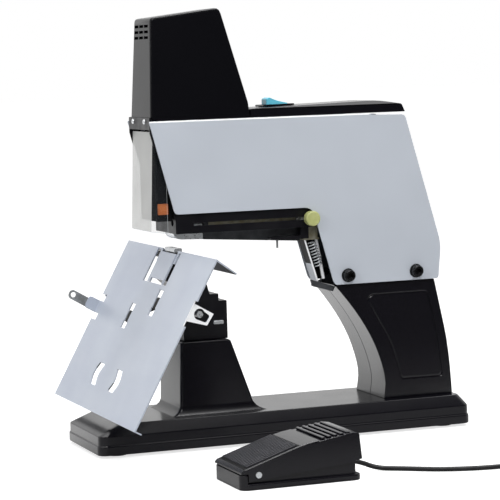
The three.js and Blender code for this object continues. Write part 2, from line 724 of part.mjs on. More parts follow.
function makePanels() {
  for (const [name, sign] of [['arm_panel_near', -1], ['arm_panel_far', 1]]) {
    const sheet = side(panelOutline(), ...span(sign, PANEL_OUTER - PANEL_SHEET, PANEL_OUTER));
    const hemSpan = span(sign, PANEL_OUTER - HEM_WIDTH, PANEL_OUTER - 0.2);
    const hem = box(ARM_FRONT + 5, HEM_REAR - 1, ...hemSpan, ARM_TOP - PANEL_SHEET, ARM_TOP);
    const holes = SCREW_PLACES.map(([x, z]) => {
      return bar([x, sign * (PANEL_OUTER - 4), z], [x, sign * (PANEL_OUTER + 2), z], SCREW_SHANK + 0.6, 16);
    });
    piece(name, cut(join(sheet, hem), ...holes), finish.paleSheet);
    SCREW_PLACES.forEach(([x, z], index) => {
      const place = name.replace('arm_panel_', '');
      piece(`panel_screw_${place}_${index + 1}`, panelScrew(x, z, sign), finish.blackSatin);
    });
  }
}

// Socket-head screw with its washer
function panelScrew(x, z, sign) {
  const face = PANEL_OUTER;
  const top = face + WASHER_THICKNESS + SCREW_HEAD_HEIGHT;
  const profile = [
    [0, FRAME_INNER + 1], [SCREW_SHANK, FRAME_INNER + 1], [SCREW_SHANK, face], [WASHER_RADIUS, face],
    [WASHER_RADIUS, face + WASHER_THICKNESS], [SCREW_HEAD, face + WASHER_THICKNESS], [SCREW_HEAD, top - 0.8],
    [SCREW_HEAD - 0.8, top], [0, top],
  ];
  const screw = turnedAlongY(profile, 0, 0, 20);
  const socket = new THREE.CylinderGeometry(SOCKET_KEY_RADIUS, SOCKET_KEY_RADIUS, 5, 6);
  socket.translate(0, top, 0);
  const solid = cut(screw, socket);
  if (sign < 0) solid.rotateX(Math.PI);
  solid.translate(x, 0, z);
  return solid;
}

// Low cover along the arm, rear cover, inlet and pedal socket

function coverOutline(inset) {
  const bottom = COVER_BOTTOM - (inset > 0 ? 1 : 0);
  return [
    [COVER_FRONT + inset, bottom], [COVER_REAR - inset, bottom],
    [COVER_REAR - 3.8 - inset, COVER_TOP - COVER_CHAMFER - inset, 1.5],
    [COVER_REAR - 29, COVER_TOP - inset, 10],
    [COVER_FRONT + inset, COVER_TOP - 3.8 - inset, 1],
  ];
}

// Long wedge over one upper edge of the cover, which it cuts off at a slant
function coverChamfer(sign) {
  const reach = 1.5 * COVER_CHAMFER;
  const wedge = (x) => [
    [x, sign * (COVER_HALF - reach), COVER_TOP + 0.02], [x, sign * COVER_HALF, COVER_TOP - COVER_CHAMFER],
    [x, sign * (COVER_HALF + 3), COVER_TOP - COVER_CHAMFER], [x, sign * (COVER_HALF + 3), COVER_TOP + 3],
    [x, sign * (COVER_HALF - reach), COVER_TOP + 3],
  ];
  const ends = [wedge(COVER_FRONT - 2), wedge(COVER_REAR + 2)];
  return loft(sign > 0 ? ends : ends.map((points) => [...points].reverse()));
}

function makeCovers() {
  const shell = side(coverOutline(0), -COVER_HALF, COVER_HALF, 0, 3);
  const insideHalf = COVER_HALF - COVER_WALL - 2.5;
  const inside = side(coverOutline(COVER_WALL), -insideHalf, insideHalf, 0, 3);
  const chamfers = [-1, 1].map((sign) => coverChamfer(sign));
  const well = box(ROCKER_FRONT + 1, ROCKER_REAR - 1, -ROCKER_HALF + 1, ROCKER_HALF - 1,
    COVER_BOTTOM, COVER_TOP + 10);
  piece('arm_top_cover', cut(shell, inside, well, ...chamfers), finish.blackPlastic);

  const rearHalf = PANEL_OUTER - PANEL_SHEET - GAP;
  const rear = side([
    [PANEL_LEG_REAR - 0.8, LEG_BOTTOM + 1], [PANEL_BACK - 1.8, PANEL_BACK_Z, 12],
    [PANEL_SHOULDER - 0.1, PANEL_SHOULDER_Z - 0.8], [PANEL_SHOULDER - 3.1, PANEL_SHOULDER_Z - 2],
    [PANEL_BACK - 2 - REAR_WALL, PANEL_BACK_Z - 0.2, 10], [PANEL_LEG_REAR - 0.6 - REAR_WALL, LEG_BOTTOM + 1],
  ], -rearHalf, rearHalf, 0, 3);
  const inletHole = box(PANEL_BACK - 14, PANEL_BACK + 4, INLET_NEAR, INLET_FAR, INLET_BOTTOM, INLET_TOP);
  const socketHole = bar([160, SOCKET_Y, SOCKET_Z], [190, SOCKET_Y, SOCKET_Z], SOCKET_RADIUS, 16);
  piece('rear_cover', cut(rear, inletHole, socketHole), finish.blackPlastic);

  const inletBody = box(PANEL_BACK - 9.5, PANEL_BACK, INLET_NEAR + GAP, INLET_FAR - GAP,
    INLET_BOTTOM + GAP, INLET_TOP - GAP);
  const inletLip = side([
    [PANEL_BACK - 3.9, INLET_BOTTOM - 2], [PANEL_BACK - 1.9, INLET_BOTTOM - 2],
    [PANEL_BACK - 0.3, INLET_TOP + 2], [PANEL_BACK - 2.3, INLET_TOP + 2],
  ], INLET_NEAR - 2, INLET_FAR + 2);
  const inletRecess = box(PANEL_BACK - 8, PANEL_BACK + 3, INLET_NEAR + 3, INLET_FAR - 3,
    INLET_BOTTOM + 3, INLET_TOP - 3);
  piece('power_inlet', cut(join(inletBody, inletLip), inletRecess), finish.blackPlastic);

  const bore = PLUG_TIP_RADIUS + 0.2;
  const boreEnd = SOCKET_FACE - PLUG_TIP_LENGTH - 0.5;
  const socketProfile = [
    [0, boreEnd - 2], [SOCKET_RADIUS - GAP, boreEnd - 2], [SOCKET_RADIUS - GAP, SOCKET_FACE - 2.7],
    [SOCKET_RADIUS + 2, SOCKET_FACE - 2.7], [SOCKET_RADIUS + 2, SOCKET_FACE], [bore, SOCKET_FACE],
    [bore, boreEnd], [0, boreEnd],
  ];
  const socket = turnedAlongY(socketProfile, 0, 0, 20);
  socket.rotateZ(-Math.PI / 2);
  socket.translate(0, SOCKET_Y, SOCKET_Z);
  piece('pedal_socket', socket, finish.steel);
}

// Power rocker in its bezel

function makeRocker() {
  const shaft = ROCKER_HALF - BEZEL_RIM;
  const frame = side([
    [ROCKER_FRONT - 2, BEZEL_TOP - 2.5], [ROCKER_REAR + 2, BEZEL_TOP - 1.8], [ROCKER_REAR + 2, BEZEL_TOP],
    [ROCKER_FRONT - 2, BEZEL_TOP - 0.6],
  ], -ROCKER_HALF - 2, ROCKER_HALF + 2, 0.6, 2);
  const body = box(ROCKER_FRONT + 1.3, ROCKER_REAR - 1.3, -ROCKER_HALF + 1.3, ROCKER_HALF - 1.3,
    BEZEL_TOP - 23.2, BEZEL_TOP - 1.2);
  const well = box(ROCKER_FRONT + BEZEL_RIM, ROCKER_REAR - BEZEL_RIM, -shaft, shaft,
    BEZEL_TOP - 21.2, BEZEL_TOP + 10);
  const mouth = box(ROCKER_FRONT + 1.2, ROCKER_REAR - BEZEL_RIM, -shaft, shaft, BEZEL_TOP - 4,
    BEZEL_TOP + 10);
  piece('rocker_bezel', cut(join(frame, body), well, mouth), finish.blackSatin);

  const wing = shaft - GAP - 0.1;
  const at = (along, up, radius = 0) => [ROCKER_PIVOT_X + along, ROCKER_PIVOT_Z + up, radius];
  const rocker = side([
    at(-10.8, -3), at(0, -7), at(11, -3), at(11.6, 3.4, 0.8), at(0, 5.9, 8), at(-8.4, 9.7, 1.2),
    at(-11.8, 8.1, 1.2), at(-11.8, 0.5),
  ], -wing, wing, 0, 3);
  piece('power_rocker', rocker, finish.rocker);
}

// Hood over the head

function hoodOutline(inset) {
  const foot = COVER_BOTTOM - 6;
  return [
    [COVER_FRONT - inset, foot], [COVER_FRONT - 1.6 - inset, COVER_TOP + 2.4],
    [HOOD_REAR_TOP - inset, HOOD_TOP_REAR - inset, 6 - inset],
    [HOOD_FRONT_TOP + inset, HOOD_TOP_FRONT - inset, 3.5 - inset], [HOOD_FRONT_FOOT + inset, foot],
  ];
}

function hoodDraft(z) {
  const share = (z - COVER_BOTTOM) / (HOOD_TOP_FRONT - COVER_BOTTOM);
  return 1 + (HOOD_HALF_TOP / HOOD_HALF_BOTTOM - 1) * share;
}

function makeHood() {
  const options = {
    depth: 2 * (HOOD_HALF_BOTTOM - HOOD_EDGE),
    bevelEnabled: true,
    bevelThickness: HOOD_EDGE,
    bevelSize: HOOD_EDGE,
    bevelOffset: -HOOD_EDGE,
    bevelSegments: 2,
    curveSegments: 3,
  };
  const outer = new THREE.ExtrudeGeometry(outline(hoodOutline(0)), options);
  outer.rotateX(Math.PI / 2);
  outer.translate(0, HOOD_HALF_BOTTOM - HOOD_EDGE, 0);
  const innerHalf = HOOD_HALF_BOTTOM - HOOD_WALL;
  const inner = side(hoodOutline(HOOD_WALL), -innerHalf, innerHalf, 0, 2);
  const below = box(HOOD_FRONT_FOOT - 10, COVER_FRONT + 20, -HOOD_HALF_BOTTOM - 10, HOOD_HALF_BOTTOM + 10,
    COVER_BOTTOM - 20, COVER_BOTTOM);
  const vents = [];
  for (const row of [0, 1, 2]) {
    for (const column of [-1, 0, 1]) {
      const y = VENT_MIDDLE + column * VENT_SPACING;
      const z = HOOD_TOP_FRONT - VENT_DROP - row * VENT_PITCH;
      vents.push(box(HOOD_FRONT_FOOT - 1.9, HOOD_FRONT_TOP + 4.8, y - VENT_LENGTH / 2, y + VENT_LENGTH / 2,
        z - VENT_HEIGHT / 2, z + VENT_HEIGHT / 2));
    }
  }
  piece('hood', drafted(cut(outer, inner, below, ...vents), hoodDraft), finish.blackPlastic);
}

// Head: solenoid, plunger with the driver blade, guide and bumper

function makeHead() {
  const lowYoke = SOLENOID_BOTTOM + SOLENOID_SHEET;
  const highYoke = SOLENOID_TOP - SOLENOID_SHEET;
  const spaceHalf = WINDING_RADIUS + 0.5;
  const housing = box(DRIVER_X - spaceHalf - SOLENOID_SHEET, DRIVER_X + spaceHalf + SOLENOID_SHEET,
    -SOLENOID_HALF, SOLENOID_HALF, SOLENOID_BOTTOM, SOLENOID_TOP);
  const windingSpace = box(DRIVER_X - spaceHalf, DRIVER_X + spaceHalf, -SOLENOID_HALF - 1, SOLENOID_HALF + 1,
    lowYoke, highYoke);
  const bore = bar([DRIVER_X, 0, 300], [DRIVER_X, 0, SOLENOID_TOP + 1], PLUNGER_RADIUS + GAP, 20);
  piece('solenoid_frame', cut(housing, windingSpace, bore), finish.darkSteel);

  const winding = bar([DRIVER_X, 0, lowYoke + GAP], [DRIVER_X, 0, highYoke - GAP], WINDING_RADIUS, 24);
  piece('solenoid_winding', cut(winding, bore), finish.copper);

  const rod = bar([DRIVER_X, 0, RAM_TOP - 1], [DRIVER_X, 0, PLUNGER_TOP], PLUNGER_RADIUS, 20);
  const ram = box(DRIVER_X - RAM_HALF_LENGTH, DRIVER_X + RAM_HALF_LENGTH, -RAM_HALF_WIDTH, RAM_HALF_WIDTH,
    RAM_BOTTOM, RAM_TOP);
  const bladeSlot = box(DRIVER_X - BLADE_SHEET / 2 - 0.1, DRIVER_X + BLADE_SHEET / 2 + 0.1,
    -BLADE_HALF - 0.6, BLADE_HALF + 0.6, RAM_BOTTOM - 1, RAM_BOTTOM + BLADE_GRIP + GAP);
  piece('plunger', cut(join(rod, ram), bladeSlot), finish.steel);
  const blade = box(DRIVER_X - BLADE_SHEET / 2 + 0.2, DRIVER_X + BLADE_SHEET / 2 - 0.2,
    -BLADE_HALF, BLADE_HALF, BLADE_BOTTOM, RAM_BOTTOM + BLADE_GRIP);
  piece('driver_blade', blade, finish.steel);

  const apron = CHANNEL_FRONT - 1.5;
  const guide = side([
    [GUIDE_FRONT, ARM_BOTTOM - 7], [apron, ARM_BOTTOM - 7], [apron, ARM_BOTTOM],
    [FRAME_FRONT - GAP, ARM_BOTTOM], [FRAME_FRONT - GAP, GUIDE_TOP], [GUIDE_FRONT, GUIDE_TOP],
  ], -GUIDE_HALF, GUIDE_HALF);
  const shaft = box(DRIVER_X - RAM_HALF_LENGTH - GAP, DRIVER_X + RAM_HALF_LENGTH + GAP, -RAM_HALF_WIDTH - GAP,
    RAM_HALF_WIDTH + GAP, ARM_BOTTOM - 1, GUIDE_TOP - 38);
  const rodBore = bar([DRIVER_X, 0, GUIDE_TOP - 39], [DRIVER_X, 0, GUIDE_TOP + 1], PLUNGER_RADIUS + GAP, 20);
  const sweep = GUARD_HEM_REACH + GAP;
  const guardRelief = box(GUIDE_FRONT - 1, GUARD_PIN_X + sweep, -GUIDE_HALF - 1, GUIDE_HALF + 1,
    GUARD_PIN_Z - 3.5, GUARD_PIN_Z + sweep);
  piece('head_guide', cut(guide, shaft, rodBore, guardRelief), finish.blackSatin);
  const bumper = box(GUIDE_FRONT, GUIDE_FRONT + 10.5, -GUIDE_HALF - 3.6, -GUIDE_HALF, ARM_BOTTOM,
    ARM_BOTTOM + 11);
  piece('side_bumper', bumper, finish.orange);
}

// Slotted channel, magazine and what slides in them

function makeChannel() {
  const shell = box(CHANNEL_FRONT, CHANNEL_REAR, -CHANNEL_HALF, CHANNEL_HALF, CHANNEL_BOTTOM, CHANNEL_TOP);
  const inside = box(CHANNEL_FRONT + CHANNEL_WALL, CHANNEL_REAR + 1, -CHANNEL_HALF + CHANNEL_WALL,
    CHANNEL_HALF - CHANNEL_WALL, CHANNEL_BOTTOM - 1, CHANNEL_TOP - CHANNEL_WALL);
  const slot = box(SLOT_FRONT, KNOB_X + 4.5, -CHANNEL_HALF - 1, -CHANNEL_HALF + CHANNEL_WALL + 1,
    SLOT_Z - SLOT_HEIGHT / 2, SLOT_Z + SLOT_HEIGHT / 2);
  const bladeSlot = box(DRIVER_X - 1.5, DRIVER_X + 1.5, -BLADE_HALF - 1.6, BLADE_HALF + 1.6,
    CHANNEL_TOP - CHANNEL_WALL - 1, CHANNEL_TOP + 1);
  const frontHole = bar([CHANNEL_FRONT - 1, -22, 227], [CHANNEL_FRONT + 5, -22, 227], 3.5, 14);
  piece('slide_channel', cut(shell, inside, slot, bladeSlot, frontHole), finish.blackSatin);

  const magazineTop = CHANNEL_TOP - CHANNEL_WALL - GAP;
  const trackTop = magazineTop - MAGAZINE_WALL;
  const trackHalf = MAGAZINE_HALF - MAGAZINE_WALL;
  const magazine = side([
    [NOSE_REAR + GAP, MAGAZINE_BOTTOM], [MAGAZINE_REAR, MAGAZINE_REAR_BOTTOM], [MAGAZINE_REAR, magazineTop],
    [NOSE_REAR + GAP, magazineTop],
  ], -MAGAZINE_HALF, MAGAZINE_HALF);
  const track = box(NOSE_REAR - 1, MAGAZINE_REAR - MAGAZINE_WALL, -trackHalf, trackHalf, STAPLE_FLOOR,
    trackTop);
  piece('magazine', cut(magazine, track), finish.darkSteel);

  const chuteHalf = BLADE_HALF + 0.6;
  const nose = side([
    [NOSE_FRONT, NOSE_BOTTOM + 6], [NOSE_FRONT + 1.2, NOSE_BOTTOM + 3.2],
    [NOSE_FRONT + 3.6, NOSE_BOTTOM + 1.2],
    [NOSE_FRONT + 8, NOSE_BOTTOM], [NOSE_REAR, MAGAZINE_BOTTOM + 0.2], [NOSE_REAR, NOSE_TOP],
    [NOSE_FRONT, NOSE_TOP],
  ], -MAGAZINE_HALF, MAGAZINE_HALF);
  const chute = box(DRIVER_X - 1.1, DRIVER_X + 1.1, -chuteHalf, chuteHalf, NOSE_BOTTOM - 1, NOSE_TOP + 1);
  const gallery = box(DRIVER_X, NOSE_REAR + 1, -chuteHalf, chuteHalf, STAPLE_FLOOR, NOSE_TOP - 3);
  piece('magazine_nose', cut(nose, chute, gallery), finish.steel);

  const legInside = STAPLE_HALF - STAPLE_WIRE;
  const strip = box(DRIVER_X + 1.4, STRIP_REAR, -STAPLE_HALF, STAPLE_HALF, STAPLE_FLOOR + GAP,
    STAPLE_FLOOR + GAP + STAPLE_LEG);
  const stripInside = box(DRIVER_X, STRIP_REAR + 1, -legInside, legInside, STAPLE_FLOOR - 1,
    STAPLE_FLOOR + GAP + STAPLE_LEG - STAPLE_WIRE);
  piece('staple_strip', cut(strip, stripInside), finish.steel);
  const pusher = box(STRIP_REAR + GAP, STRIP_REAR + PUSHER_LENGTH, -trackHalf + GAP, trackHalf - GAP,
    STAPLE_FLOOR + GAP, trackTop - GAP);
  piece('staple_pusher', pusher, finish.darkSteel);
}

function makeMarginGauge() {
  const inner = -CHANNEL_HALF + CHANNEL_WALL + GAP;
  const block = box(KNOB_X - SLIDER_HALF, KNOB_X + SLIDER_HALF, inner, -MAGAZINE_HALF - 3,
    CHANNEL_BOTTOM + 2.9, CHANNEL_TOP - CHANNEL_WALL - GAP);
  const neck = box(KNOB_X - 3.5, KNOB_X + 3.5, -CHANNEL_HALF - 0.6, inner + 1, SLOT_Z - 1.2, SLOT_Z + 1.2);
  piece('margin_slider', join(block, neck), finish.steel);

  const start = -CHANNEL_HALF - 0.6 - GAP;
  const disc = -PANEL_OUTER - GAP;
  const knobProfile = [
    [0, start - KNOB_LENGTH], [KNOB_RADIUS - 2, start - KNOB_LENGTH],
    [KNOB_RADIUS, start - KNOB_LENGTH + 1.6], [KNOB_RADIUS, disc - 0.8], [KNOB_RADIUS - 0.8, disc],
    [KNOB_COLLAR_RADIUS, disc], [KNOB_COLLAR_RADIUS, start], [0, start],
  ];
  piece('margin_knob', turnedAlongY(knobProfile, KNOB_X, SLOT_Z, 24), finish.knob);

  const low = CHANNEL_BOTTOM - 12;
  const foot = box(STOP_PIN_X - 8.2, KNOB_X + 0.5, -29, -19, low, low + 3);
  const riser = box(KNOB_X - 8, KNOB_X + 0.5, -29, -19, low + 2, CHANNEL_BOTTOM + 2.6);
  const pin = bar([STOP_PIN_X, -24, STOP_PIN_BOTTOM], [STOP_PIN_X, -24, low + 1], STOP_PIN_RADIUS, 14);
  piece('margin_stop', join(foot, riser, pin), finish.darkSteel);
}

// Throat mechanism in front of the rear leg

function makeThroat() {
  const plate = side([[37.5, 161.5], [39.4, 154.5], [62.2, 147.7], [64.4, 152.2], [62, 153.6]],
    LIP_NEAR, LIP_NEAR + 3);
  const shelf = side([[40.5, 154.4], [62.2, 147.9], [62.2, 149.9], [40.5, 156.4]],
    LIP_NEAR, -FRAME_OUTER + 3.6);
  piece('throat_lip', join(plate, shelf), finish.blackSatin);

  const flangeFront = [[33.2, 202.4], [46.4, 158.6]];
  const run = (flangeFront[1][0] - flangeFront[0][0]) / (flangeFront[0][1] - flangeFront[1][1]);
  const slant = (x, z) => x + (flangeFront[0][1] - z) * run;
  const flange = side([[33.2, 202.4], [35.2, 202.4], [slant(35.2, 158.6), 158.6], flangeFront[1]], -24.5, -8);
  const web = side([[33.2, 202.4], [47.2, 202.4], [slant(47.2, 160.4), 160.4], flangeFront[1]], -9.8, -8);
  const cap = box(38.3, 48.2, -26, 26, 202, CHANNEL_BOTTOM - GAP);
  const ledge = box(33.2, 49.8, -26, -8, 202, 204);
  const rod = bar([48.2, -21, 203], [55.2, -21, 160.7], 1.8, 14);
  piece('throat_bracket', join(flange, web, cap, ledge, rod), finish.khaki);
  piece('throat_spring', springForm([41.2, -26.2, 199.4], [48.6, -26.2, 175.4]), finish.steel);
}

// Tension spring as one unbroken wire, straight for a wire's width at both ends
function springForm(from, to) {
  const start = new THREE.Vector3(...from);
  const end = new THREE.Vector3(...to);
  const axis = end.clone().sub(start);
  const length = axis.length();
  axis.normalize();
  const u = new THREE.Vector3(0, 1, 0);
  const v = axis.clone().cross(u).normalize();
  const steps = SPRING_TURNS * 8;
  const path = [];
  for (let step = 0; step <= steps; step += 1) {
    const angle = (2 * Math.PI * step) / 8;
    const point = start.clone().addScaledVector(axis, (length * step) / steps);
    point.addScaledVector(u, Math.cos(angle) * SPRING_RADIUS);
    point.addScaledVector(v, Math.sin(angle) * SPRING_RADIUS);
    path.push(point);
  }
  const gap = leastGap(path, SPRING_WIRE, 6);
  console.log(`throat_spring least gap between turns ${gap.toFixed(2)} mm`);
  return loft(framedRings(path, SPRING_WIRE, 5));
}

// Rings carried along a path without twisting
function framedRings(path, radius, sides) {
  let across = null;
  return path.map((point, index) => {
    const before = path[Math.max(index - 1, 0)];
    const after = path[Math.min(index + 1, path.length - 1)];
    const along = after.clone().sub(before).normalize();
    if (across === null) across = new THREE.Vector3(0.3, 0.2, 1).cross(along).normalize();
    across.addScaledVector(along, -across.dot(along)).normalize();
    const up = along.clone().cross(across);
    const points = [];
    for (let step = 0; step < sides; step += 1) {
      const angle = (2 * Math.PI * step) / sides;
      const offset = across.clone().multiplyScalar(Math.cos(angle) * radius);
      offset.addScaledVector(up, Math.sin(angle) * radius);
      points.push(point.clone().add(offset).toArray());
    }
    return points;
  });
}

// Guard and its bracket

function makeGuard() {
  const legInner = GUARD_HALF + 0.6;
  const legOuter = GUARD_HALF + 1.8;
  const plate = box(-131.6, -130.1, -legOuter, legOuter, 321.3, 333.5);
  const leg = (y0, y1) => side([
    [-131.6, 333.5], [-131.6, 318], [-128.2, 304.8], [-124.6, 304.5], [-119.5, 320], [-119.5, 329],
    [-130.3, 333.5],
  ], y0, y1);
  const pins = [-1, 1].map((sign) => {
    return bar([GUARD_PIN_X, sign * (GUARD_HALF - 2.8), GUARD_PIN_Z],
      [GUARD_PIN_X, sign * (GUARD_HALF + 1.2), GUARD_PIN_Z], GUARD_PIN_RADIUS, 14);
  });
  const hemRelief = box(-130.05, -118, -40, 40, 327.6, 340);
  const legs = [leg(-legOuter, -legInner), leg(legInner, legOuter)];
  piece('guard_bracket', cut(join(plate, ...legs, ...pins), hemRelief), finish.blackSatin);

  const outer = side([
    [-128.4, 319.2], [-132.8, 219.4, 1], [-115, 216.8, 1], [-115, 300], [-121.6, 308], [-121.4, 318.4, 2],
    [-125, 320.4, 2],
  ], -GUARD_HALF, GUARD_HALF);
  const inner = side([[-126.6, 324], [-131.2, 216], [-114, 210], [-114, 324]], -GUARD_HALF + GUARD_SHEET,
    GUARD_HALF - GUARD_SHEET);
  const bores = bar([GUARD_PIN_X, -GUARD_HALF - 7, GUARD_PIN_Z], [GUARD_PIN_X, GUARD_HALF + 7, GUARD_PIN_Z],
    GUARD_PIN_RADIUS + 0.2, 14);
  piece('head_guard', cut(outer, inner, bores), finish.clear);
}

// Saddle table, modelled flat with its ridge on the group's Y axis and then tilted

function makeTable() {
  const table = new THREE.Group();
  table.position.set(RIDGE_X, 0, RIDGE_Z);
  table.rotation.y = rad(-TABLE_TILT);
  root.add(table);

  const plate = box(-TABLE_LENGTH, 0, -TABLE_HALF, TABLE_HALF, -TABLE_SHEET, 0);
  const lip = box(-TABLE_LENGTH, -TABLE_LENGTH + TABLE_SHEET, -TABLE_HALF, TABLE_HALF, -8, 0);
  const flange = flangeSheet();
  const earNear = tableEar(-EAR_Y, -EAR_Y + TABLE_SHEET);
  const earFar = tableEar(EAR_Y - TABLE_SHEET, EAR_Y);
  const knuckleIn = TONGUE_HALF + 2 * GAP;
  const knuckles = [-1, 1].map((sign) => {
    return side([[0, -1], [-3.2, -24], [-14, -10], [-14, -1]], ...span(sign, knuckleIn,
      knuckleIn + KNUCKLE_WIDTH));
  });
  const tabTop = CATCH_OUT + CATCH_HALF_WIDTH;
  const tab = side([
    [-CATCH_DOWN + 8, -1], [-CATCH_DOWN - 5.5, -1], [-CATCH_DOWN - 5.5, tabTop, 4],
    [-CATCH_DOWN + 8, tabTop, 4],
  ], TABLE_HALF - TABLE_SHEET, TABLE_HALF, 0, 3);
  const rivet = bar([-CATCH_DOWN, TABLE_HALF - 0.5, CATCH_OUT], [-CATCH_DOWN, TABLE_HALF + 2.6, CATCH_OUT],
    RIVET_RADIUS, 16);
  const sheet = cut(plate, ...tableOpenings());
  const hingeX = -HINGE_DROP;
  const hingeZ = -HINGE_BACK - TABLE_SHEET;
  const pinBore = bar([hingeX, -40, hingeZ], [hingeX, 40, hingeZ], HINGE_PIN_RADIUS + 0.3, 16);
  const folded = cut(join(sheet, lip, flange, ...knuckles, tab), pinBore);
  piece('table_plate', join(folded, earNear, earFar, rivet), finish.tableSheet, table);

  const rodEnd = EAR_Y + 1.5;
  const rod = bar([-ROD_DOWN, -rodEnd, -ROD_BEHIND], [-ROD_DOWN, rodEnd, -ROD_BEHIND], ROD_RADIUS, 20);
  piece('table_rod', rod, finish.steel, table);

  const catchSide = TABLE_HALF + GAP;
  const catchEnd = CATCH_OUT + CATCH_LENGTH;
  const roundEnd = CATCH_HALF_WIDTH - 0.1;
  const strip = side([
    [-CATCH_DOWN - CATCH_HALF_WIDTH + 1, catchEnd + CATCH_HALF_WIDTH, roundEnd],
    [-CATCH_DOWN + CATCH_HALF_WIDTH + 1, catchEnd + CATCH_HALF_WIDTH, roundEnd],
    [-CATCH_DOWN + CATCH_HALF_WIDTH, CATCH_OUT - CATCH_HALF_WIDTH, roundEnd],
    [-CATCH_DOWN - CATCH_HALF_WIDTH, CATCH_OUT - CATCH_HALF_WIDTH, roundEnd],
  ], catchSide, catchSide + 2, 0, 5);
  const holeEnd = bar([-CATCH_DOWN + 1, catchSide - 1, catchEnd], [-CATCH_DOWN + 1, catchSide + 3, catchEnd],
    2.9, 16);
  const holeRivet = bar([-CATCH_DOWN, catchSide - 1, CATCH_OUT], [-CATCH_DOWN, catchSide + 3, CATCH_OUT],
    RIVET_RADIUS + GAP, 16);
  piece('table_catch', cut(strip, holeEnd, holeRivet), finish.darkSteel, table);

  const padHalf = SLOT_HALF - 1.9;
  const rim = padHalf + 1;
  const [near, far] = TABLE_SLOTS.map(({ top, bottom, foot, padY }) => {
    return { start: -top - 8, end: -bottom + foot - 0.4, low: padY - padHalf, high: padY + padHalf, padY };
  });
  const backPlate = [
    [near.start + 0.2, near.padY - rim], [near.start + 0.2, near.padY + rim],
    [near.start - 7, near.padY + rim],
    [far.start + 0.2, far.padY - rim - 3.4], [far.start + 0.2, far.padY + rim],
    [far.end - 0.3, far.padY + rim],
    [far.end - 0.3, far.padY - rim], [far.end + 4.4, far.padY - rim], [near.end - 0.3, near.padY + rim - 1.6],
    [near.end - 0.3, near.padY - rim],
  ];
  const pads = [near, far].map(({ start, end, low, high }) => box(end, start, low, high, -3, -GAP));
  const pad = join(plan(backPlate, -4, -TABLE_SHEET - GAP), ...pads);
  piece('table_stop_pads', pad, finish.blackPlastic, table);

  const tongue = box(-TONGUE_LENGTH, -3.6, -TONGUE_HALF, TONGUE_HALF, -TONGUE_SHEET, 0);
  const fork = box(-TONGUE_LENGTH - 1, -33, -22, 17, -TABLE_SHEET - 1, 1);
  piece('saddle_tongue', cut(tongue, fork), finish.tableSheet, table);

  const pinEnd = knuckleIn + KNUCKLE_WIDTH + 1.4;
  const pin = bar([HINGE[0], -pinEnd, HINGE[1]], [HINGE[0], pinEnd, HINGE[1]], HINGE_PIN_RADIUS, 16);
  piece('table_hinge_pin', pin, finish.steel);
}

// Flange behind the ridge, left out round the anvil arm
function flangeSheet() {
  const angle = rad(-FLANGE_ANGLE);
  const tip = [Math.cos(angle) * FLANGE_LENGTH, Math.sin(angle) * FLANGE_LENGTH];
  const inner = [-TABLE_SHEET * Math.sin(-angle), TABLE_SHEET * Math.cos(angle)];
  const section = [[0, 0], [-TABLE_SHEET * 1.4, -TABLE_SHEET * 0.9], [tip[0] + inner[0], tip[1]], tip];
  const relief = box(-20, 10, -TONGUE_HALF - 0.2, TONGUE_HALF + 0.2, -FLANGE_LENGTH - 15, 1);
  return cut(side(section, -TABLE_HALF, TABLE_HALF), relief);
}

function tableEar(y0, y1) {
  const ear = side([
    [-ROD_DOWN - 11.7, -1], [-ROD_DOWN - 6.4, -ROD_BEHIND - 12], [-ROD_DOWN + 6.6, -ROD_BEHIND - 13],
    [-ROD_DOWN + 7.1, -1],
  ], y0, y1);
  const seat = bar([-ROD_DOWN, y0 - 1, -ROD_BEHIND], [-ROD_DOWN, y1 + 1, -ROD_BEHIND], ROD_RADIUS + 0.3, 20);
  if (y0 > 0) return cut(ear, seat);
  const round = bar([-ROD_DOWN, y0 - 1, -ROD_BEHIND], [-ROD_DOWN, y1 + 1, -ROD_BEHIND], ROD_RADIUS + 2.2, 20);
  const drop = side([
    [-ROD_DOWN + 4.7, -ROD_BEHIND - 1], [-ROD_DOWN - 5.3, -ROD_BEHIND - 1],
    [-ROD_DOWN - 4.5, -ROD_BEHIND - 9.7, 2], [-ROD_DOWN + 3.1, -ROD_BEHIND - 10.3, 2],
  ], y0 - 1, y1 + 1);
  return cut(ear, round, drop);
}

// Cuts through the plate, in distance down it and across it
function tableOpenings() {
  const through = (x0, x1, y0, y1) => box(x0, x1, y0, y1, -TABLE_SHEET - 1, 1);
  const opening = through(-OPENING_LENGTH, 3, -OPENING_HALF, OPENING_HALF);
  const slots = TABLE_SLOTS.flatMap(({ top, bottom, foot, y }) => [
    through(-bottom + 4, -top - 4, y - SLOT_HALF, y + SLOT_HALF),
    through(-top - SLOT_HEAD, -top, y - SLOT_END_HALF, y + SLOT_END_HALF),
    through(-bottom, -bottom + foot, y - SLOT_END_HALF, y + SLOT_END_HALF),
  ]);
  const arcs = [[38, 8], [-23, -8]].map(([y, lean]) => {
    return plan([
      [-133, y - ARC_HALF, 2], [-133, y + ARC_HALF, 2], [-145.5, y + lean + ARC_HALF, 12],
      [-157, y + ARC_HALF, 2], [-157, y - ARC_HALF, 2], [-145.5, y + lean - ARC_HALF, 12],
    ], -TABLE_SHEET - 1, 1, 0, 3);
  });
  const nearNotch = through(-ROD_DOWN - 17.1, -ROD_DOWN + 9.5, -TABLE_HALF - 1, -EAR_Y - GAP);
  const notchFloor = TABLE_HALF - NOTCH_DEPTH;
  const farNotchLow = through(-CATCH_DOWN - 13, -CATCH_DOWN - 5.5, notchFloor, TABLE_HALF + 1);
  const farNotchHigh = through(-CATCH_DOWN + 8, -CATCH_DOWN + 16, notchFloor, TABLE_HALF + 1);
  return [opening, ...slots, ...arcs, nearNotch, farNotchLow, farNotchHigh];
}

// Foot pedal

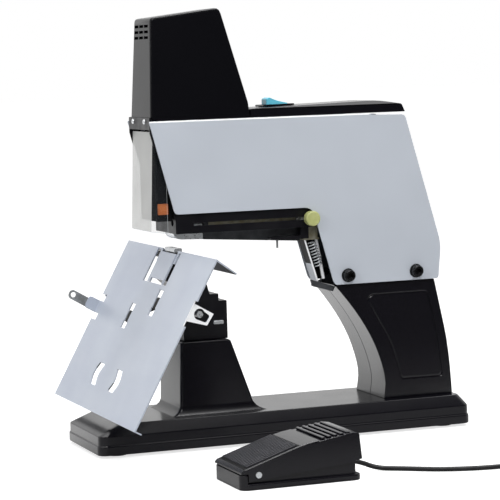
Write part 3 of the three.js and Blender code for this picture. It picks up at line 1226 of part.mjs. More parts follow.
function makePedal() {
  const middle = (PEDAL_NEAR + PEDAL_FAR) / 2;
  const half = (PEDAL_FAR - PEDAL_NEAR) / 2;
  const flange = loft([
    ring(PEDAL_FRONT, PEDAL_REAR, PEDAL_NEAR, PEDAL_FAR, 8, 0, 4),
    ring(PEDAL_FRONT, PEDAL_REAR, PEDAL_NEAR, PEDAL_FAR, 8, PEDAL_FLANGE - 1, 4),
    ring(PEDAL_FRONT + 1, PEDAL_REAR - 1, PEDAL_NEAR + 1, PEDAL_FAR - 1, 7, PEDAL_FLANGE, 4),
  ]);
  const toeOuter = ring(PEDAL_FRONT, PEDAL_FRONT + 40, PEDAL_NEAR, PEDAL_FAR, 8, 1, 4);
  const toeTop = ring(PEDAL_FRONT, PEDAL_FRONT + 40, PEDAL_NEAR, PEDAL_FAR, 8, PEDAL_TOE_HEIGHT, 4);
  const behindToe = box(PEDAL_TOE_REAR, PEDAL_REAR + 20, PEDAL_NEAR - 1, PEDAL_FAR + 1, 0,
    PEDAL_TOE_HEIGHT + 20);
  const toe = cut(loft([toeOuter, toeTop]), behindToe);
  const tubHalf = half - TREADLE_INSET - TREADLE_WALL - 1;
  const tub = side([[PEDAL_FRONT + 2, 2], [PEDAL_BODY_REAR, 2], [PEDAL_BODY_REAR, 18], [PEDAL_FRONT + 34, 18],
    [PEDAL_FRONT + 12, 15.8], [PEDAL_FRONT + 2, 12]], middle - tubHalf, middle + tubHalf);
  const insideHalf = tubHalf - 3;
  const inside = box(PEDAL_TOE_REAR + 2, PEDAL_BODY_REAR - 3, middle - insideHalf, middle + insideHalf, 3,
    30);
  const pinBore = bar([PEDAL_PIN_X, PEDAL_NEAR - 1, PEDAL_PIN_Z], [PEDAL_PIN_X, PEDAL_FAR + 1, PEDAL_PIN_Z],
    PEDAL_PIN_RADIUS + 0.15, 20);
  const cordHole = bar([PEDAL_BODY_REAR - 6, middle, CORD_EXIT_Z], [PEDAL_BODY_REAR + 2, middle, CORD_EXIT_Z],
    RELIEF_RADIUS + 0.2, 16);
  piece('pedal_base', cut(join(flange, toe, tub), inside, pinBore, cordHole), finish.blackPlastic);

  const near = PEDAL_NEAR + TREADLE_INSET;
  const far = PEDAL_FAR - TREADLE_INSET;
  const striker = bar([SWITCH_X, middle, 28], [SWITCH_X, middle, 39], 3.4, 14);
  const cordNotch = box(PEDAL_REAR - 8, PEDAL_REAR + 4, middle - 8, middle + 8, 0, 29);
  const inner = treadleInside(near + TREADLE_WALL, far - TREADLE_WALL);
  const hollow = cut(treadleBody(near, far), inner, pinBore, cordNotch);
  piece('pedal_treadle', join(hollow, striker), finish.blackPlastic);
  piece('pedal_pin', bar([PEDAL_PIN_X, near - 0.4, PEDAL_PIN_Z], [PEDAL_PIN_X, far + 0.4, PEDAL_PIN_Z],
    PEDAL_PIN_RADIUS, 20), finish.steel);
  const switchBox = box(SWITCH_X - 10, SWITCH_X + 10, middle - 9, middle + 9, 3 + GAP, 19);
  const button = bar([SWITCH_X, middle, 18], [SWITCH_X, middle, 22.5], 3, 14);
  piece('pedal_switch', join(switchBox, button), finish.blackSatin);
}

function treadleBody(near, far) {
  const bottom = PEDAL_TOE_HEIGHT + 0.8;
  return side([
    [PEDAL_FRONT + 0.4, bottom], [PEDAL_TOE_REAR + 1, bottom], [PEDAL_TOE_REAR + 1, 7.4],
    [PEDAL_REAR - 8.4, 16.8], [PEDAL_REAR + 0.8, 19.6], [PEDAL_REAR - 1.6, TREADLE_TOP - 1, 1.5],
    [PEDAL_REAR - 8.4, TREADLE_TOP, 1], [TREADLE_CREST_X, TREADLE_CREST_Z, 14],
    [PEDAL_FRONT + 3, PEDAL_TOE_HEIGHT + 4.9, 3], [PEDAL_FRONT + 0.6, PEDAL_TOE_HEIGHT + 2.6],
  ], near, far, 0, 3);
}

function treadleInside(near, far) {
  const wall = TREADLE_WALL;
  return side([
    [PEDAL_FRONT + 0.4 + wall, PEDAL_TOE_HEIGHT - 4], [PEDAL_TOE_REAR + 1.5, 0], [PEDAL_REAR + 0.4 - wall, 0],
    [PEDAL_REAR - 1.8 - wall, TREADLE_TOP - 3.4 - wall], [PEDAL_REAR - 8.4, TREADLE_TOP - 2.6],
    [TREADLE_CREST_X, TREADLE_CREST_Z - 0.2 - wall], [PEDAL_FRONT + 5, PEDAL_TOE_HEIGHT + 2.8],
  ], near, far);
}

// Cord of the pedal: strain relief, free stretch, wound rest and plug

// The wound stretch spirals in and out layer by layer; each spiral reverses in the middle of the
// half turn in which it climbs to the next layer
function coilPath() {
  const stepsPerTurn = 24;
  const cycle = COIL_TURNS_PER_LAYER + 0.5;
  const turns = COIL_LAYERS * cycle - 0.5;
  const path = [new THREE.Vector3(COIL_X - COIL_LEAD + GAP, COIL_Y + COIL_OUTER, CORD_Z)];
  for (let step = 0; step <= Math.round(turns * stepsPerTurn); step += 1) {
    const turn = step / stepsPerTurn;
    const layer = Math.min(Math.floor(turn / cycle + 1e-6), COIL_LAYERS - 1);
    const climb = Math.max(turn - layer * cycle - COIL_TURNS_PER_LAYER, 0) / 0.5;
    const swing = (turn + 0.25) % (2 * cycle);
    const inward = swing < cycle ? swing : 2 * cycle - swing;
    const radius = COIL_OUTER - COIL_PITCH * (inward - 0.25);
    const rise = layer + (layer + 1 < COIL_LAYERS ? climb : 0);
    path.push(coilPoint(radius, Math.PI / 2 - 2 * Math.PI * turn, CORD_Z + rise * COIL_PITCH));
  }
  const top = CORD_Z + (COIL_LAYERS - 1) * COIL_PITCH;
  const tail = [
    [8, 0, top], [17, -0.6, top - 0.7], [28, -2.2, top - 3.2], [39, -5, top - 7],
    [49, -8.5, PLUG_RADIUS + 1.6],
    [57, -11.6, PLUG_RADIUS + 0.2], [62, -13.5, PLUG_RADIUS], [67, -15.4, PLUG_RADIUS],
  ];
  for (const [along, across, z] of tail) {
    path.push(new THREE.Vector3(COIL_X + along, COIL_Y + COIL_OUTER + across, z));
  }
  return path;
}

function coilPoint(radius, angle, z) {
  return new THREE.Vector3(COIL_X + radius * Math.cos(angle), COIL_Y + radius * Math.sin(angle), z);
}

function makeCord() {
  const reliefProfile = [[0, 0], [RELIEF_RADIUS, 0], [RELIEF_RADIUS, 4.2], [RELIEF_RADIUS + 0.8, 4.2],
    [RELIEF_RADIUS + 0.8, 6], [CORD_RADIUS + 1, 6.6], [CORD_RADIUS + 0.6, RELIEF_LENGTH], [0, RELIEF_LENGTH]];
  const relief = new THREE.LatheGeometry(reliefProfile.map(([r, y]) => new THREE.Vector2(r, y)), 16);
  relief.rotateZ(-Math.PI / 2);
  relief.translate(RELIEF_END - RELIEF_LENGTH, CORD_Y, CORD_EXIT_Z);
  piece('pedal_strain_relief', relief, finish.rubber);

  const curve = new THREE.CatmullRomCurve3(CORD_ROUTE.map((point) => new THREE.Vector3(...point)));
  const freePath = curve.getSpacedPoints(40);
  piece('pedal_cord', tube(freePath, CORD_RADIUS, 8), finish.cord);

  const wound = coilPath();
  piece('pedal_cord_coil', loft(framedRings(wound, CORD_RADIUS, 6)), finish.cord);
  const length = pathLength(freePath) + pathLength(wound);
  const gap = leastGap(wound, CORD_RADIUS, 14);
  console.log(`pedal cord length ${length.toFixed(0)} mm, least gap in the coil ${gap.toFixed(2)} mm`);

  const end = wound[wound.length - 1];
  const heading = end.clone().sub(wound[wound.length - 2]).setZ(0).normalize();
  const plugEnd = PLUG_LENGTH + PLUG_TIP_LENGTH;
  const plugProfile = [[0, 0], [CORD_RADIUS + 0.8, 0], [CORD_RADIUS + 1.8, 7], [PLUG_RADIUS, 9],
    [PLUG_RADIUS, PLUG_LENGTH - 1], [PLUG_TIP_RADIUS, PLUG_LENGTH], [PLUG_TIP_RADIUS, plugEnd], [0, plugEnd]];
  const plug = new THREE.LatheGeometry(plugProfile.map(([r, y]) => new THREE.Vector2(r, y)), 16);
  plug.applyQuaternion(new THREE.Quaternion().setFromUnitVectors(new THREE.Vector3(0, 1, 0), heading));
  plug.translate(end.x + heading.x * GAP, end.y + heading.y * GAP, end.z);
  piece('pedal_plug', plug, finish.blackPlastic);
}

function pathLength(path) {
  return path.slice(1).reduce((sum, point, index) => sum + point.distanceTo(path[index]), 0);
}

// Least distance from a wound path to itself, less its thickness, leaving out a point's next neighbours
function leastGap(path, radius, neighbours) {
  let least = Infinity;
  for (let i = 0; i < path.length; i += 1) {
    for (let j = i + neighbours; j < path.length; j += 1) least = Math.min(least,
      path[i].distanceTo(path[j]));
  }
  return least - 2 * radius;
}

// Board on the inside of the far frame plate
function makeBoard() {
  const sheet = box(-45, 45, 20, FRAME_INNER - GAP, 258, 296);
  const transformer = box(-38, -20, 8, 20.5, 264, 284);
  const relay = box(-10, 2, 10, 20.5, 262, 274);
  const heatSink = box(12, 34, 6, 20.5, 276, 292);
  piece('control_board', join(sheet, transformer, relay, heatSink), finish.board);
}

makeBase();
makeColumn();
makeFrame();
makePost();
makeAnvil();
makePanels();
makeCovers();
makeRocker();
makeHood();
makeHead();
makeBoard();
makeChannel();
makeMarginGauge();
makeThroat();
makeGuard();
makeTable();
makePedal();
makeCord();

export default root;
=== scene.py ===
# %% [markdown]
# A long-reach electric stapler, dressed for the camera
#
# The machine is a boxed arm on a hollow column, with a tall driver hood over its head, a sloping
# saddle table in front and a foot pedal on a cord. Its solids come from the CAD model, which is the
# fixed frame here. Each step below takes one visible piece and gives it rounded edges, small detail
# and a material, in the place where the CAD model has it.

# %% Load the frame
import json
import math

import bmesh
import bpy
from mathutils import Matrix, Vector


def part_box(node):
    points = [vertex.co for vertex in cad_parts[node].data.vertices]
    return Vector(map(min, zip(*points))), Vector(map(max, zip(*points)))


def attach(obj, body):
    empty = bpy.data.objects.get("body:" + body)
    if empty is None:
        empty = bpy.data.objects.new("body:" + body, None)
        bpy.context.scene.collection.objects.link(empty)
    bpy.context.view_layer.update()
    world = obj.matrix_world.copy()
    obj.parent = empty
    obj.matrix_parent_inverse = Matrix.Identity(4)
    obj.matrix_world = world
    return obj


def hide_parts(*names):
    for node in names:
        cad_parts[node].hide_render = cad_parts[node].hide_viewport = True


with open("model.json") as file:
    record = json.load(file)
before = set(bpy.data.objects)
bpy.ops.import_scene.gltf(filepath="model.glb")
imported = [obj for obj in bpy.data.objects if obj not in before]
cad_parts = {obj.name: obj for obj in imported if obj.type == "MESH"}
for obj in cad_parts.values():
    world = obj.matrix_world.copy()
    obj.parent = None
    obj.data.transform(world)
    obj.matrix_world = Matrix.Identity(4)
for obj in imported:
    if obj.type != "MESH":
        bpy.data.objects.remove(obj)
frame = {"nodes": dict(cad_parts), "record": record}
MM = 0.001
scene = bpy.context.scene
record = frame["record"]
home = {}
for body, members in record["behaviour"]["bodies"].items():
    for member in members:
        home[member] = body
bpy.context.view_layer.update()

# %% [markdown]
# Camera. The photograph looks at the machine from its near side, turned a little towards the front
# end, from just above table height. The long lens keeps the arm's edges nearly parallel. The three
# axes of the camera are worked out from azimuth, elevation and roll, because a matrix is exact and
# says in one place what the view is.

# %% Camera
AZIMUTH = math.radians(-20)
ELEVATION = math.radians(4.8)
ROLL = math.radians(-1.75)
SENSOR_WIDTH = 36
LENS_IN_FRAMES = 2233 / 500
CAMERA_PLACE = Vector((-0.8004, -2.1529, 0.3853))

level = Vector((math.cos(AZIMUTH), math.sin(AZIMUTH), 0))
back = Vector((
    math.sin(AZIMUTH) * math.cos(ELEVATION),
    -math.cos(AZIMUTH) * math.cos(ELEVATION),
    math.sin(ELEVATION),
))
upright = back.cross(level)
camera_right = math.cos(ROLL) * level + math.sin(ROLL) * upright
camera_up = math.cos(ROLL) * upright - math.sin(ROLL) * level
turn = Matrix((camera_right, camera_up, back)).transposed()

bpy.ops.object.camera_add()
camera = bpy.context.object
camera.name = "studio_camera"
camera.matrix_world = Matrix.Translation(CAMERA_PLACE) @ turn.to_4x4()
camera.data.sensor_width = SENSOR_WIDTH
camera.data.sensor_fit = "HORIZONTAL"
camera.data.lens = SENSOR_WIDTH * LENS_IN_FRAMES
camera.data.clip_end = 60
scene.camera = camera
print("lens in millimetres:", round(camera.data.lens, 1))

# %% [markdown]
# Pedal cord. The real cord is a round two-core lead, 4.5 mm thick. It leaves the back of the pedal
# through a strain relief, sinks to the floor and runs off to the right. The rest of its length is
# wound in a neat coil out of view. A curve with a round bevel is the natural way to make it: the
# curve is the centreline, so its length can be measured, and the thickness follows.

# %% Route of the cord
PEDAL_MIDDLE = -243.25
CORD_RADIUS = 2.25
CORD_Z = CORD_RADIUS + 0.05
CORD_EXIT = (-11.9, PEDAL_MIDDLE, 10.6)
COIL_CENTRE = (183, -322)
COIL_PITCH = 5.1
COIL_LAYERS = 4
TURNS_PER_LAYER = 2.125
COIL_MIDDLE = 24
COIL_OUTER = COIL_MIDDLE + COIL_PITCH * TURNS_PER_LAYER / 2

free_route = [
    CORD_EXIT, (-6.2, PEDAL_MIDDLE, 10.2), (2, -243.4, 7.6), (10, -245, 4.4), (19, -248.6, 2.6),
    (28, -254, CORD_Z), (38, -261, CORD_Z), (50, -270, CORD_Z), (64, -279, CORD_Z),
    (80, -286, CORD_Z), (97, -291, CORD_Z), (115, -293.5, CORD_Z), (133, -294, CORD_Z),
    (150, -293.2, CORD_Z), (166, -292.4, CORD_Z), (178, COIL_CENTRE[1] + COIL_OUTER, CORD_Z),
]


def eased(points, share):
    """The point of a smooth line through four points, at a share of its middle stretch."""
    before, start, end, after = [Vector(point) for point in points]
    knots = [0.0]
    for first, second in ((before, start), (start, end), (end, after)):
        knots.append(knots[-1] + max((second - first).length ** 0.5, 1e-4))
    t = knots[1] + share * (knots[2] - knots[1])
    first = before.lerp(start, (t - knots[0]) / (knots[1] - knots[0]))
    second = start.lerp(end, (t - knots[1]) / (knots[2] - knots[1]))
    third = end.lerp(after, (t - knots[2]) / (knots[3] - knots[2]))
    near = first.lerp(second, (t - knots[0]) / (knots[2] - knots[0]))
    far = second.lerp(third, (t - knots[1]) / (knots[3] - knots[1]))
    return near.lerp(far, share)


def smooth_line(points, parts=5):
    """Adds points between the given ones, so that the line bends evenly."""
    points = [Vector(point) for point in points]
    ends = [2 * points[0] - points[1]] + points + [2 * points[-1] - points[-2]]
    line = []
    for index in range(len(points) - 1):
        for part in range(parts):
            line.append(eased(ends[index:index + 4], part / parts))
    line.append(points[-1])
    return line


print("points of the free route:", len(free_route))

# %% [markdown]
# The coil spirals in and out again, four layers high. Each spiral turns round in the middle of the
# half turn in which the cord climbs to the next layer, so the turns never cross through each other.

# %% Coil of the cord
CLIMB = 0.5


def coil_line(steps=24):
    cycle = TURNS_PER_LAYER + CLIMB
    turns = COIL_LAYERS * cycle - CLIMB
    line = []
    for step in range(round(turns * steps) + 1):
        turned = step / steps
        layer = min(int(turned / cycle + 1e-6), COIL_LAYERS - 1)
        climbed = max(turned - layer * cycle - TURNS_PER_LAYER, 0) / CLIMB
        swing = (turned + CLIMB / 2) % (2 * cycle)
        inward = swing if swing < cycle else 2 * cycle - swing
        radius = COIL_OUTER - COIL_PITCH * (inward - CLIMB / 2)
        rise = layer + (climbed if layer + 1 < COIL_LAYERS else 0)
        angle = math.pi / 2 - 2 * math.pi * turned
        line.append(Vector((
            COIL_CENTRE[0] + radius * math.cos(angle),
            COIL_CENTRE[1] + radius * math.sin(angle),
            CORD_Z + rise * COIL_PITCH,
        )))
    return line


COIL_TOP = CORD_Z + (COIL_LAYERS - 1) * COIL_PITCH
tail_steps = [
    (8, 0, COIL_TOP), (17, -0.6, COIL_TOP - 0.7), (28, -2.2, COIL_TOP - 3.2),
    (39, -5, COIL_TOP - 7), (49, -8.5, 7.6), (57, -11.6, 6.2), (62, -13.5, 6), (67, -15.4, 6),
]
tail = []
for along, across, height in tail_steps:
    tail.append(Vector((COIL_CENTRE[0] + along, COIL_CENTRE[1] + COIL_OUTER + across, height)))
cord_line = smooth_line(free_route) + coil_line() + tail

# %% [markdown]
# The curve itself is one open spline of straight steps short enough to look round. It is made a
# mesh at the end, so that its box is that of the real cord.

# %% Cord as a curve
cord_curve = bpy.data.curves.new("pedal_cord_lead", "CURVE")
cord_curve.dimensions = "3D"
cord_curve.bevel_depth = CORD_RADIUS * MM
cord_curve.bevel_resolution = 4
cord_curve.use_fill_caps = True
spline = cord_curve.splines.new("POLY")
spline.points.add(len(cord_line) - 1)
for point, at in zip(spline.points, cord_line):
    point.co = (at.x * MM, at.y * MM, at.z * MM, 1)
spline.use_smooth = True
cord = bpy.data.objects.new("pedal_cord_lead", cord_curve)
scene.collection.objects.link(cord)
bpy.ops.object.select_all(action="DESELECT")
cord.select_set(True)
bpy.context.view_layer.objects.active = cord
bpy.ops.object.convert(target="MESH")
cord = bpy.context.object
cord.name = "pedal_cord_lead"
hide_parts("pedal_cord", "pedal_cord_coil")
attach(cord, home["pedal_cord"])
print("cord faces:", len(cord.data.polygons))

# %% [markdown]
# Modelling helpers. An operator works on whatever is selected, so each helper first deselects
# everything. A finished piece keeps its place in its mesh and its object at the origin, as the CAD
# nodes do, so transforms are applied at the end.

# %% Helpers for modelling
def only(piece):
    if bpy.context.mode != "OBJECT":
        bpy.ops.object.mode_set(mode="OBJECT")
    bpy.ops.object.select_all(action="DESELECT")
    piece.select_set(True)
    bpy.context.view_layer.objects.active = piece


def open_mesh(piece, kind="FACE"):
    only(piece)
    bpy.ops.object.mode_set(mode="EDIT")
    bpy.ops.mesh.select_mode(type=kind)
    bpy.ops.mesh.select_all(action="DESELECT")


def pick(rule):
    """Selects the faces whose centre and normal pass the rule."""
    mesh = bmesh.from_edit_mesh(bpy.context.object.data)
    chosen = 0
    for face in mesh.faces:
        if rule(face.calc_center_median(), face.normal):
            face.select_set(True)
            chosen += 1
    bmesh.update_edit_mesh(bpy.context.object.data)
    return chosen


def settle(piece, name):
    """Closes edit mode and moves the object's place and turn into its mesh."""
    only(piece)
    bpy.ops.object.transform_apply(location=True, rotation=True, scale=True)
    piece.name = name
    piece.data.name = name


def stand_in(piece, node):
    """The piece is seen instead of a CAD node, and keeps the node's body."""
    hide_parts(node)
    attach(piece, home[node])


# %% [markdown]
# Rounding. No real edge is sharp, and a thin line of light along each edge is what makes a model
# look solid. A Bevel modifier makes it, and weighted normals keep the large faces flat in shading.
# Where a wide radius meets a narrow one the bevel leaves points on top of each other: with weld,
# they are merged.

# %% Helper that rounds edges
SMOOTH_UP_TO = math.radians(38)
WELD = 0.02


def rounded(piece, width, limit=30, segments=2, weld=False):
    """Rounds the edges that bend by more than limit degrees."""
    only(piece)
    bevel = piece.modifiers.new("rounding", "BEVEL")
    bevel.width = width * MM
    bevel.segments = segments
    bevel.limit_method = "ANGLE"
    bevel.angle_limit = math.radians(limit)
    bevel.use_clamp_overlap = False
    bpy.ops.object.modifier_apply(modifier=bevel.name)
    if weld:
        open_mesh(piece)
        bpy.ops.mesh.select_all(action="SELECT")
        bpy.ops.mesh.remove_doubles(threshold=WELD * MM)
        bpy.ops.mesh.dissolve_degenerate(threshold=WELD * MM)
        bpy.ops.object.mode_set(mode="OBJECT")
    bpy.ops.object.shade_smooth_by_angle(angle=SMOOTH_UP_TO)
    weights = piece.modifiers.new("flat faces first", "WEIGHTED_NORMAL")
    weights.mode = "FACE_AREA"
    weights.weight = 100
    weights.keep_sharp = True
    bpy.ops.object.modifier_apply(modifier=weights.name)


# %% [markdown]
# Dressing a CAD node. Its mesh is loose triangles with hard edges, which real mouldings and folded
# sheet never have. A copy is merged, its flat triangles are joined into whole faces, and its edges
# are rounded by the radius that the process gives: about 1 mm on a moulding, less on sheet metal.

# %% Helper that dresses a CAD node
MERGE = 0.004
FLAT_WITHIN = math.radians(0.6)


def dressed(node, width):
    """A merged copy of a CAD node with its edges rounded, or with sharp edges if width is 0."""
    piece = bpy.data.objects.new(node + "_shell", frame["nodes"][node].data.copy())
    piece.data.materials.clear()
    scene.collection.objects.link(piece)
    only(piece)
    bpy.ops.mesh.customdata_custom_splitnormals_clear()
    open_mesh(piece)
    bpy.ops.mesh.select_all(action="SELECT")
    bpy.ops.mesh.remove_doubles(threshold=MERGE * MM)
    bpy.ops.mesh.dissolve_limited(angle_limit=FLAT_WITHIN)
    bpy.ops.object.mode_set(mode="OBJECT")
    if width:
        rounded(piece, width)
    stand_in(piece, node)
    return piece


# %% [markdown]
# Materials. Every finish starts from a Principled shader. Its plain numbers are typed into the
# shader's own sockets, and what varies over the surface, such as grain or brushing, comes from
# noise that reads Object coordinates, so it stays fixed to the piece at its real size.

# %% Helpers for shader nodes
def srgb(red, green, blue):
    """A colour given as it looks on screen, from 0 to 255."""
    out = []
    for value in (red, green, blue):
        share = value / 255
        out.append(share / 12.92 if share <= 0.04045 else ((share + 0.055) / 1.055) ** 2.4)
    return (*out, 1)


def add_node(nodes, kind, **values):
    """Adds a node. A value goes to the input of its name, or else to the node's own setting."""
    node = nodes.new(kind)
    for key, value in values.items():
        if key in node.inputs:
            node.inputs[key].default_value = value
        else:
            setattr(node, key, value)
    return node


def add_range(nodes, low, high, at_low, at_high):
    """Adds a node that runs from at_low to at_high while its input runs from low to high."""
    return add_node(nodes, "ShaderNodeMapRange", **{
        "From Min": low, "From Max": high, "To Min": at_low, "To Max": at_high})


# %% [markdown]
# A finish is a material with the few nodes that all of them share: noise of a given size in
# millimetres, a relief of a given depth, and a socket that wanders between two values.

# %% Helper for finishes
class Finish:
    """A material with its shader and the nodes that the finishes below share."""

    def __init__(self, name, colour, roughness, metallic=0.0, specular=0.5):
        self.material = bpy.data.materials.new(name)
        self.material.use_nodes = True
        self.nodes = self.material.node_tree.nodes
        self.links = self.material.node_tree.links
        self.shader = self.nodes["Principled BSDF"]
        self.shader.inputs["Base Color"].default_value = colour
        self.shader.inputs["Roughness"].default_value = roughness
        self.shader.inputs["Metallic"].default_value = metallic
        self.shader.inputs["Specular IOR Level"].default_value = specular
        self.material.diffuse_color = colour
        self.height = None
        print("finish:", name)

    def noise(self, size, detail=2.0, stretch=(1, 1, 1)):
        """Noise whose blobs are about size millimetres across."""
        place = add_node(self.nodes, "ShaderNodeTexCoord")
        mapping = add_node(self.nodes, "ShaderNodeMapping", Scale=stretch)
        cloud = add_node(self.nodes, "ShaderNodeTexNoise", Scale=1000 / size, Detail=detail,
                         Roughness=0.55)
        self.links.new(place.outputs["Object"], mapping.inputs["Vector"])
        self.links.new(mapping.outputs["Vector"], cloud.inputs["Vector"])
        return cloud.outputs["Fac"]

    def bump(self, height, depth, strength=1.0):
        """Adds a relief of depth millimetres."""
        relief = add_node(self.nodes, "ShaderNodeBump", Strength=strength, Distance=depth * MM)
        self.links.new(height, relief.inputs["Height"])
        if self.height is not None:
            self.links.new(self.height, relief.inputs["Normal"])
        self.height = relief.outputs["Normal"]
        self.links.new(self.height, self.shader.inputs["Normal"])

    def vary(self, factor, first, second, socket="Base Color", low=0.35, high=0.65):
        """Runs a socket between two values where the factor runs from low to high."""
        ramp = add_node(self.nodes, "ShaderNodeValToRGB")
        ramp.color_ramp.elements[0].position = low
        ramp.color_ramp.elements[1].position = high
        plain = socket != "Base Color"
        ramp.color_ramp.elements[0].color = (first, first, first, 1) if plain else first
        ramp.color_ramp.elements[1].color = (second, second, second, 1) if plain else second
        self.links.new(factor, ramp.inputs["Fac"])
        self.links.new(ramp.outputs["Color"], self.shader.inputs[socket])


# %% [markdown]
# A piece wears one finish all over. Where a part of it looks different, such as a bare end or a
# bright fold, the faces of that part are painted with another finish. The first rule that a face
# passes is the one that counts.

# %% Helpers that put a finish on
def wear(piece, finish):
    piece.data.materials.clear()
    piece.data.materials.append(finish.material)
    return piece


def paint(piece, finish, rule):
    """Paints the faces whose centre, in millimetres, and normal pass the rule."""
    piece.data.materials.append(finish.material)
    coat = len(piece.data.materials) - 1
    painted = 0
    for face in piece.data.polygons:
        if face.material_index == 0 and rule(face.center / MM, face.normal):
            face.material_index = coat
            painted += 1
    print(piece.name, "faces in", finish.material.name + ":", painted)


# %% [markdown]
# Moulded black plastic. The covers, the hood and the pedal are spark-textured ABS: a fine grain of
# about a third of a millimetre breaks up the reflection. Black mouldings read by their reflections,
# so roughness matters more than colour, and it wanders a little as a handled surface does. The hood
# reflects least and the column most. The fine ribs of the treadle are painted greyer, a painted
# sheen that stands for the light along their edges.

# %% Black plastics
moulded_black = Finish("moulded_black", srgb(13, 12, 18), 0.22, specular=0.32)
moulded_black.bump(moulded_black.noise(0.35, 2), 0.004, 0.3)
moulded_black.vary(moulded_black.noise(40, 1), 0.21, 0.235, "Roughness", 0.3, 0.7)
moulded_black.vary(moulded_black.noise(70, 1), srgb(12, 11, 17), srgb(14, 13, 19),
                   low=0.3, high=0.7)

column_black = Finish("column_black", srgb(13, 12, 18), 0.2, specular=0.55)
column_black.bump(column_black.noise(0.35, 2), 0.004, 0.3)
column_black.vary(column_black.noise(40, 1), 0.19, 0.215, "Roughness", 0.3, 0.7)

hood_black = Finish("hood_black", srgb(11, 11, 15), 0.22, specular=0.17)
hood_black.bump(hood_black.noise(0.35, 2), 0.004, 0.3)
hood_black.vary(hood_black.noise(40, 1), 0.21, 0.235, "Roughness", 0.3, 0.7)

# Painted sheen: the grey of the fine ribs stands for the highlights along their edges.
rib_painted_sheen = Finish("rib_painted_sheen", srgb(44, 44, 49), 0.42, specular=0.4)
rib_painted_sheen.bump(rib_painted_sheen.noise(0.5, 2), 0.006, 0.4)
rib_painted_sheen.vary(rib_painted_sheen.noise(8, 2), srgb(38, 38, 43), srgb(50, 50, 55))

# %% [markdown]
# Dull blacks. Inner mouldings never see a polished mould, and rubber is duller and coarser still.

# %% Dull blacks
inner_black = Finish("inner_black", srgb(12, 12, 14), 0.6, specular=0.14)
inner_black.bump(inner_black.noise(0.6, 2), 0.02, 0.5)

soft_black = Finish("soft_black", srgb(15, 15, 16), 0.7, specular=0.3)
soft_black.bump(soft_black.noise(0.8, 3), 0.04, 0.6)
soft_black.vary(soft_black.noise(9, 2), 0.66, 0.8, "Roughness")

# %% [markdown]
# Black paint on steel. It is a little rougher than the mouldings, with the slight orange peel that
# sprayed paint keeps when it dries.

# %% Black paint
painted_black = Finish("painted_black", srgb(13, 12, 18), 0.3, specular=0.36)
painted_black.bump(painted_black.noise(1.6, 1), 0.02, 0.5)
painted_black.vary(painted_black.noise(14, 3), 0.3, 0.44, "Roughness")

# %% [markdown]
# Pale coated sheet. The side panels and the table are bluish grey. The panels have a powder coat
# with a soft orange peel. Their folds face the light, and that light is painted on them as a nearly
# white, glossy finish, a painted highlight. The table is a little metallic and shows faint streaks
# along its fold, from rolling.

# %% Pale sheet metal
panel_coat = Finish("panel_coat", srgb(190, 196, 205), 0.42)
panel_coat.bump(panel_coat.noise(1.3, 2), 0.012, 0.5)
panel_coat.vary(panel_coat.noise(120, 2), srgb(187, 193, 202), srgb(193, 199, 208))

# A painted highlight: nearly white and glossy, for lit folds and edges.
painted_highlight_white = Finish("painted_highlight_white", srgb(250, 251, 253), 0.2)
painted_highlight_white.shader.inputs["Coat Weight"].default_value = 0.6
painted_highlight_white.bump(painted_highlight_white.noise(1.3, 2), 0.006, 0.4)

table_coat = Finish("table_coat", srgb(188, 195, 208), 0.36, 0.25)
table_coat.bump(table_coat.noise(1.2, 3, stretch=(1, 0.06, 1)), 0.008, 0.6)
table_coat.vary(table_coat.noise(26, 3, stretch=(1, 0.15, 1)), 0.31, 0.44, "Roughness")
table_coat.vary(table_coat.noise(80, 2), srgb(184, 191, 205), srgb(192, 199, 211))

# %% [markdown]
# Bare and plated steel. Brushing is noise stretched a lot along one direction: it dents the normal
# a few thousandths of a millimetre, which is enough to spread the highlight across the lines.

# %% Steels
bright_steel = Finish("bright_steel", srgb(198, 201, 204), 0.28, 0.6)
bright_steel.bump(bright_steel.noise(0.5, 2, stretch=(0.05, 1, 1)), 0.006, 0.7)
bright_steel.vary(bright_steel.noise(7, 2), 0.22, 0.36, "Roughness")

pale_zinc = Finish("pale_zinc", srgb(226, 228, 230), 0.32, 0.5)
pale_zinc.bump(pale_zinc.noise(0.6, 2), 0.005, 0.5)
pale_zinc.vary(pale_zinc.noise(3, 2), 0.26, 0.38, "Roughness")

plated_steel = Finish("plated_steel", srgb(150, 152, 152), 0.42, 0.65)
plated_steel.bump(plated_steel.noise(0.7, 3), 0.01, 0.6)
plated_steel.vary(plated_steel.noise(9, 3), srgb(134, 135, 134), srgb(164, 166, 166))

dark_plate = Finish("dark_plate", srgb(66, 70, 73), 0.4, 0.5)
dark_plate.bump(dark_plate.noise(0.9, 3), 0.01, 0.6)
dark_plate.vary(dark_plate.noise(12, 3), srgb(62, 64, 67), srgb(80, 82, 85))

black_oxide = Finish("black_oxide", srgb(24, 24, 26), 0.24, 0.5)
black_oxide.bump(black_oxide.noise(0.4, 2), 0.006, 0.5)
black_oxide.vary(black_oxide.noise(4, 2), 0.2, 0.32, "Roughness")

# %% [markdown]
# Small coloured parts. The clamping knob is a light yellow-green, the rocker a translucent blue,
# the bumper behind the guard orange. The bracket in the throat is zinc plated and passivated, which
# leaves it khaki.

# %% Coloured parts
knob_green = Finish("knob_green", srgb(180, 184, 120), 0.4)
knob_green.bump(knob_green.noise(0.5, 2), 0.012, 0.5)
knob_green.vary(knob_green.noise(6, 2), srgb(175, 179, 114), srgb(186, 190, 128))

bumper_orange = Finish("bumper_orange", srgb(206, 112, 50), 0.5)
bumper_orange.bump(bumper_orange.noise(0.6, 2), 0.012, 0.6)
bumper_orange.vary(bumper_orange.noise(5, 2), srgb(196, 102, 42), srgb(214, 122, 60))

khaki_zinc = Finish("khaki_zinc", srgb(168, 162, 140), 0.38, 0.65)
khaki_zinc.bump(khaki_zinc.noise(0.8, 2), 0.01, 0.5)
khaki_zinc.vary(khaki_zinc.noise(6, 3), srgb(156, 149, 122), srgb(182, 178, 160))

